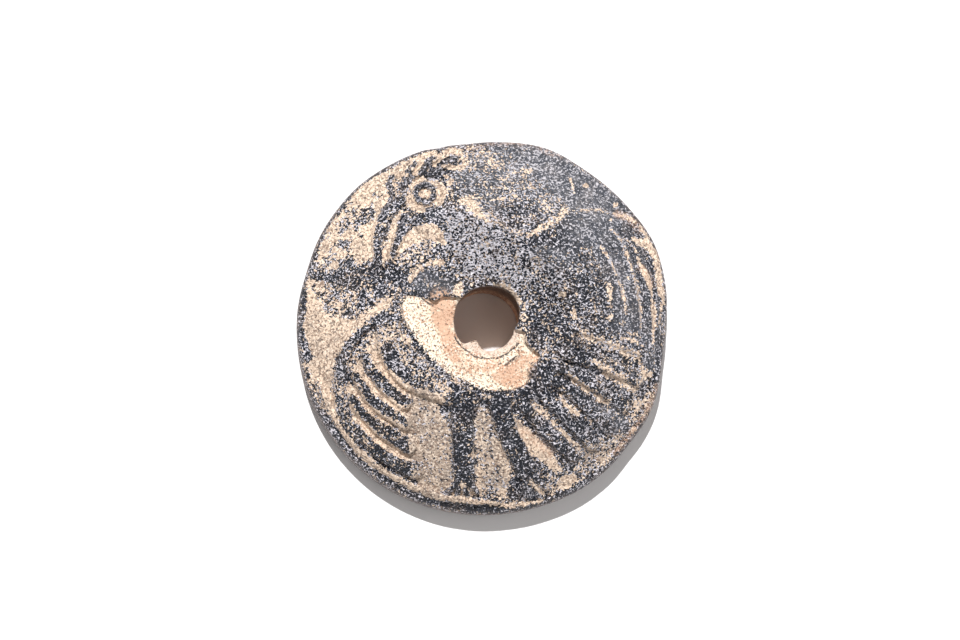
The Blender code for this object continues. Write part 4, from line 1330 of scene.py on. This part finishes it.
class ShaderMaker(NodeMaker):
    """A material's node tree."""

    def __init__(self, name: str) -> None:
        """Start a material with one Principled shader.

        Args:
            name: The material's name.
        """
        self.material = bpy.data.materials.new(name)
        self.material.use_nodes = True
        super().__init__(self.material.node_tree)
        self.shader = self.tree.nodes["Principled BSDF"]
        self.place = self.tree.nodes.new("ShaderNodeTexCoord").outputs["Object"]

    def noise(self, scale: float, detail: float = 2.0, roughness: float = 0.5, gain: float = 1.0,
              stretch: Colour = (1.0, 1.0, 1.0)) -> Socket:
        """Noise spread about a half by a gain, and held between 0 and 1.

        Args:
            scale: How many waves a metre has.
            detail: How many finer octaves are added.
            roughness: How strong the finer octaves are.
            gain: How far the noise is spread.
            stretch: The share of the scale along each axis.

        Returns:
            The noise's socket.
        """
        drawn = self.node("ShaderNodeVectorMath", self.place, stretch)
        drawn.operation = "MULTIPLY"
        node = self.node("ShaderNodeTexNoise", Vector=drawn.outputs["Vector"], Scale=scale, Detail=detail,
                         Roughness=roughness)
        return self.total((self.minus(node.outputs["Fac"], 0.5), gain), (0.5, 1.0), clamp=True)

    def veins(self, scale: float, gain: float) -> Socket:
        """Thin, winding lines.

        Args:
            scale: How many waves a metre has.
            gain: How steep the lines' sides are.

        Returns:
            0 on the lines and 1 away from them.
        """
        node = self.node("ShaderNodeTexNoise", Vector=self.place, Scale=scale, Detail=1.0)
        away = self.math("ABSOLUTE", self.minus(node.outputs["Fac"], 0.5))
        return self.math("MULTIPLY", away, 2.0 * gain, clamp=True)

    def ramp(self, value: object, low: float, high: float) -> Socket:
        """Ease from 0 to 1.

        Args:
            value: What is eased.
            low: Where it is 0.
            high: Where it is 1.

        Returns:
            The eased socket.
        """
        node = self.node("ShaderNodeMapRange", Value=value, From_Min=low, From_Max=high)
        node.interpolation_type = "SMOOTHSTEP"
        return node.outputs["Result"]

    def pores(self, scale: float, start: float) -> Socket:
        """Fine specks where noise passes a start."""
        return self.ramp(self.noise(scale, 1.0, 0.6, gain=3.8), start, start + 0.10)

    def attribute(self, name: str) -> Socket:
        """A point attribute of the piece.

        Args:
            name: The attribute's name.

        Returns:
            Its socket.
        """
        node = self.tree.nodes.new("ShaderNodeAttribute")
        node.attribute_name = name
        return node.outputs["Fac"]

    def mix(self, first: object, second: object, share: object) -> Socket:
        """Mix two colours.

        Args:
            first: The colour at 0.
            second: The colour at 1.
            share: How far the mix lies towards the second.

        Returns:
            The mixed colour's socket.
        """
        node = self.tree.nodes.new("ShaderNodeMix")
        node.data_type = "RGBA"
        for index, value in ((0, share), (6, first), (7, second)):
            self.put(node.inputs[index], value)
        return node.outputs[2]

    def bump(self, height: object, distance: float, strength: object, **below: Socket) -> Socket:
        """Fine relief of the shading.

        Args:
            height: The relief.
            distance: Its depth, in metres.
            strength: How much of it shows.
            below: The normal that it lies on, as Normal.

        Returns:
            The bent normal's socket.
        """
        node = self.node("ShaderNodeBump", Height=height, Distance=distance, Strength=strength, **below)
        return node.outputs["Normal"]


@dataclass(frozen=True)
class FiredClay:
    """Dark slip over pale fired clay, with sediment in the hollows, painted glints and sheen on the slip, and
    painted shadow lines.
    """

    slip_dark: Colour = (0.011, 0.013, 0.021)
    slip_worn: Colour = (0.066, 0.078, 0.110)
    slip_brown: Colour = (0.140, 0.105, 0.092)
    # Pale scuffs and painted glints: near-white specks of painted highlight on the glossy slip.
    slip_scuffs_and_glints: Colour = (0.87, 0.83, 0.89)
    # The blue-grey veil's colours: over the north-east a painted sheen of the glossy slip, elsewhere its
    # plain grey tone.
    haze_and_sheen: Colour = (0.085, 0.090, 0.105)
    haze_and_sheen_light: Colour = (0.27, 0.26, 0.27)
    sandy: Colour = (0.32, 0.255, 0.210)
    cream: Colour = (0.77, 0.590, 0.445)
    chalk: Colour = (0.89, 0.77, 0.65)
    pore: Colour = (0.055, 0.042, 0.040)
    fissure: Colour = (0.20, 0.130, 0.095)
    bare_cream: Colour = (0.84, 0.73, 0.57)
    bare_flush: Colour = (0.66, 0.42, 0.29)
    rust: Colour = (0.36, 0.165, 0.09)
    bare_ledge: Colour = (0.66, 0.53, 0.445)
    bore_brown: Colour = (0.54, 0.315, 0.215)
    bore_cream: Colour = (0.90, 0.70, 0.54)
    bore_dark: Colour = (0.115, 0.060, 0.045)
    specular: float = 0.45
    grain_scale: float = 4500.0
    wear_scale: float = 3400.0
    clump_scale: float = 700.0
    fine_depth: float = 0.06 * MILLIMETRE
    grain_depth: float = 0.20 * MILLIMETRE
    pit_depth: float = 0.32 * MILLIMETRE
    wrinkle_depth: float = 0.60 * MILLIMETRE

    def material(self) -> bpy.types.Material:
        """Build the material.

        Returns:
            The finish of the whole whorl.
        """
        make = ShaderMaker("fired_clay_weathered")
        grain = make.noise(self.grain_scale, 1.0, 0.5, gain=4.0)
        wear = make.noise(self.wear_scale, 1.2, 0.60, gain=3.5)
        clumps = make.noise(self.clump_scale, 5.0, 0.72, gain=2.8)
        speckle = make.total((wear, 0.48), (clumps, 0.32), (make.veins(2800.0, 3.0), 0.20))
        pale = make.ramp(make.minus(make.attribute("cover"), speckle), -0.02, 0.02)
        bare = make.ramp(make.total((make.attribute("spall"), 1.0), (clumps, 0.5), (wear, 0.5)), 0.92, 1.08)
        rust = make.times(make.attribute("flush"), make.ramp(wear, 0.25, 0.65))
        # Crack colour covers the real cracks and the painted shadow lines along the broken patch's north
        # edge.
        crack = make.times(make.ramp(make.attribute("crack"), 0.40, 0.95), make.ramp(grain, -0.10, 0.35))
        colour = make.mix(self.slip(make, wear), self.dust(make, grain), pale)
        for layer, share in ((self.bare(make, grain), bare), (self.bare_flush, rust), (self.pore, crack),
                             (self.bore(make, wear), make.attribute("bore"))):
            colour = make.mix(colour, layer, share)
        dry = make.math("MAXIMUM", make.math("MAXIMUM", pale, bare), make.attribute("haze_and_sheen"))
        looks = {"Base Color": colour, "Specular IOR Level": self.specular,
                 "Roughness": make.total((0.32, 1.0), (dry, 0.50), (make.attribute("crackle"), -0.07)),
                 "Normal": self.relief(make, grain, dry)}
        for name, value in looks.items():
            make.put(make.shader.inputs[name], value)
        return make.material

    def relief(self, make: ShaderMaker, grain: Socket, dry: Socket) -> Socket:
        """Grain, pits and wrinkles too fine for the mesh.

        Args:
            make: The material's maker.
            grain: The noise of the speckle.
            dry: How far dust or bare clay hides the slip.

        Returns:
            The bent normal.
        """
        calm = make.total((1.0, 1.0), (dry, -0.78))
        fine = make.bump(make.noise(6000.0, 1.0, 0.5, 2.4), self.fine_depth, calm)
        coarse = make.bump(grain, self.grain_depth, calm, Normal=fine)
        pits = make.bump(make.noise(2300.0, 3.0, 0.6, 3.0), self.pit_depth, calm, Normal=coarse)
        wrinkles = make.noise(2100.0, 3.0, 0.6, 3.6, (0.55, 1.0, 1.0))
        return make.bump(wrinkles, self.wrinkle_depth, make.attribute("crackle"), Normal=pits)

    def slip(self, make: ShaderMaker, wear: Socket) -> Socket:
        """The dark slip, with lighter scuffs and painted glints, and a blue-grey veil that is partly painted
        sheen.

        Args:
            make: The material's maker.
            wear: The noise of the wear.

        Returns:
            The slip's colour.
        """
        flake = make.noise(4600.0, 1.0, 0.6, gain=4.4, stretch=(0.75, 1.0, 1.0))
        lines = make.minus(1.0, make.veins(2700.0, 3.6))
        # This channel sets how many pale scuffs and painted glints the slip gets.
        scuff_and_glint = make.minus(make.attribute("scuff_and_glint"), 0.5)
        drift = make.minus(make.noise(560.0, 3.0, 0.6, gain=2.6), 0.5)
        worn = make.total((flake, 0.32), (wear, 0.24), (lines, 0.44), (scuff_and_glint, 0.30), (drift, 0.20))
        warm = make.ramp(make.noise(420.0, 3.0, 0.6, 3.0), 0.55, 0.85)
        base = make.mix(self.slip_worn, self.slip_brown, warm)
        base = make.mix(self.slip_dark, base, make.ramp(worn, 0.39, 0.56))
        # The brightest specks are partly real scuffs and partly painted glints of the glossy slip.
        base = make.mix(base, self.slip_scuffs_and_glints, make.ramp(worn, 0.595, 0.675))
        # The veil is partly painted sheen: a lighter blue-grey in place of the glossy slip's reflection, on a
        # matte surface.
        haze_and_sheen = make.attribute("haze_and_sheen")
        billow = make.noise(800.0, 5.0, 0.68, 3.2)
        cloud = make.total((billow, 0.60), (flake, 0.40), (make.minus(haze_and_sheen, 0.6), 0.35))
        veil = make.mix(self.haze_and_sheen, self.haze_and_sheen_light, make.ramp(cloud, 0.34, 0.82))
        return make.mix(base, veil, make.times(haze_and_sheen, 0.82))

    def dust(self, make: ShaderMaker, grain: Socket) -> Socket:
        """The sediment, sandy to cream and chalky, with dark pores.

        Args:
            make: The material's maker.
            grain: The noise of the speckle.

        Returns:
            The sediment's colour.
        """
        cream = make.attribute("cream")
        clouds = make.minus(make.noise(520.0, 7.0, 0.72, gain=3.0), 0.5)
        crumbs = make.minus(make.noise(3900.0, 1.0, 0.6, gain=3.6), 0.5)
        share = make.total((cream, 1.0), (clouds, 0.75), (crumbs, 0.50), clamp=True)
        colour = make.mix(self.sandy, self.cream, share)
        colour = make.mix(colour, self.chalk, make.times(make.ramp(crumbs, 0.10, 0.36), 0.50))
        fissures = make.minus(1.0, make.ramp(make.veins(1900.0, 7.0), 0.45, 1.0))
        fissures = make.times(fissures, make.ramp(grain, 0.22, 0.52))
        colour = make.mix(colour, self.fissure, make.times(fissures, 0.82))
        depth = make.total((0.92, 1.0), (cream, -0.40))
        return make.mix(colour, self.pore, make.times(make.pores(3400.0, 0.80), depth))

    def bare(self, make: ShaderMaker, grain: Socket) -> Socket:
        """The broken clay, cream with flushes of orange and rusty specks.

        Args:
            make: The material's maker.
            grain: The noise of the speckle.

        Returns:
            The bare clay's colour.
        """
        flush = make.attribute("flush")
        ledge = make.attribute("ledge")
        blush = make.total((make.noise(520.0, 6.0, 0.7, 3.0), 0.75), (grain, 0.25), (flush, -0.40))
        colour = make.mix(self.bare_flush, self.bare_cream, make.ramp(blush, 0.12, 0.62))
        lime = make.ramp(make.total((grain, 1.0), (flush, -0.45)), 0.55, 0.9)
        colour = make.mix(colour, self.chalk, make.times(lime, 0.8))
        colour = make.mix(colour, self.bare_ledge, make.times(ledge, 0.75))
        rough = make.total((0.80, 1.0), (ledge, -0.30))
        colour = make.mix(colour, self.rust, make.times(make.pores(4600.0, 0.76), rough))
        return make.mix(colour, self.pore, make.times(make.pores(4300.0, 0.90), rough))

    def bore(self, make: ShaderMaker, wear: Socket) -> Socket:
        """The bore's wall, brown with cream crumbs, and darkest near the mouth."""
        clay = make.mix(self.bore_brown, self.bore_cream, make.ramp(wear, 0.34, 0.78))
        return make.mix(clay, self.bore_dark, make.times(make.attribute("mouth_darkening"), 0.82))


@dataclass(frozen=True)
class Studio:
    """The pale floor, the light and the camera over the whorl."""

    lens: float = 135.0
    sensor: float = 36.0
    tilt: float = 6.0
    target: tuple[float, float, float] = (-0.00032, 0.00085, 0.0015)
    distance: float = 0.3845
    key_bearing: float = 103.0
    key_elevation: float = 58.9
    key_strength: float = 4.30
    key_angle: float = 1.6
    side_bearing: float = 335.0
    side_elevation: float = 38.0
    side_strength: float = 0.72
    side_angle: float = 80.0
    fill_strength: float = 0.31
    floor_size: float = 3.0

    def set_up(self) -> None:
        """Make the floor, the light and the camera."""
        self.floor()
        self.light()
        self.camera()

    def floor(self) -> None:
        """A plain white floor under the whorl."""
        half = self.floor_size / 2.0
        mesh = bpy.data.meshes.new("studio_floor")
        corners = [(-half, -half, 0.0), (half, -half, 0.0), (half, half, 0.0), (-half, half, 0.0)]
        mesh.from_pydata(corners, [], [(0, 1, 2, 3)])
        make = ShaderMaker("white_paper")
        make.put(make.shader.inputs["Base Color"], (0.86, 0.85, 0.85))
        make.put(make.shader.inputs["Roughness"], 0.9)
        mesh.materials.append(make.material)
        place("studio_floor", mesh)

    def lamp(self, name: str, bearing: float, elevation: float, strength: float, angle: float) -> None:
        """Add one far light.

        Args:
            name: The light's name.
            bearing: The compass direction that it comes from, in degrees.
            elevation: Its height over the floor, in degrees.
            strength: Its strength.
            angle: How wide it looks, in degrees.
        """
        data = bpy.data.lights.new(name, "SUN")
        data.energy = strength
        data.angle = math.radians(angle)
        lamp = place(name, data)
        turn, rise = math.radians(bearing), math.radians(elevation)
        towards = Vector((math.cos(turn) * math.cos(rise), math.sin(turn) * math.cos(rise), math.sin(rise)))
        lamp.rotation_euler = towards.to_track_quat("Z", "Y").to_euler()

    def light(self) -> None:
        """A clear key light from the top of the picture, a wide one from the right, and even fill."""
        self.lamp("key", self.key_bearing, self.key_elevation, self.key_strength, self.key_angle)
        self.lamp("side", self.side_bearing, self.side_elevation, self.side_strength, self.side_angle)
        world = bpy.data.worlds.new("studio")
        world.use_nodes = True
        background = world.node_tree.nodes["Background"]
        background.inputs["Color"].default_value = (1.0, 0.975, 0.965, 1.0)
        background.inputs["Strength"].default_value = self.fill_strength
        bpy.context.scene.world = world

    def camera(self) -> None:
        """A long lens that looks down on the whorl, tipped a little to the lower left."""
        data = bpy.data.cameras.new("camera")
        data.lens = self.lens
        data.sensor_width = self.sensor
        data.clip_start = 0.01
        camera = place("camera", data)
        lean = math.sin(math.radians(self.tilt)) / math.sqrt(2.0)
        back = Vector((-lean, -lean, math.cos(math.radians(self.tilt)))).normalized()
        camera.location = Vector(self.target) + back * self.distance
        across = Vector((0.0, 1.0, 0.0)).cross(back).normalized()
        up = back.cross(across)
        camera.rotation_euler = Matrix((across, up, back)).transposed().to_euler()
        bpy.context.scene.camera = camera
        bpy.context.scene.view_settings.view_transform = "Standard"
        bpy.context.scene.view_settings.look = "None"


def main() -> None:
    """Build the whorl and the studio round it."""
    finish = FiredClay().material()
    skin = Skin().make(finish)
    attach(skin, BODY)
    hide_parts(NODE)
    LOG.info("%s: %d faces", skin.name, len(skin.data.polygons))
    Studio().set_up()
    LOG.info("studio ready")


if __name__ == "__main__":
    main()
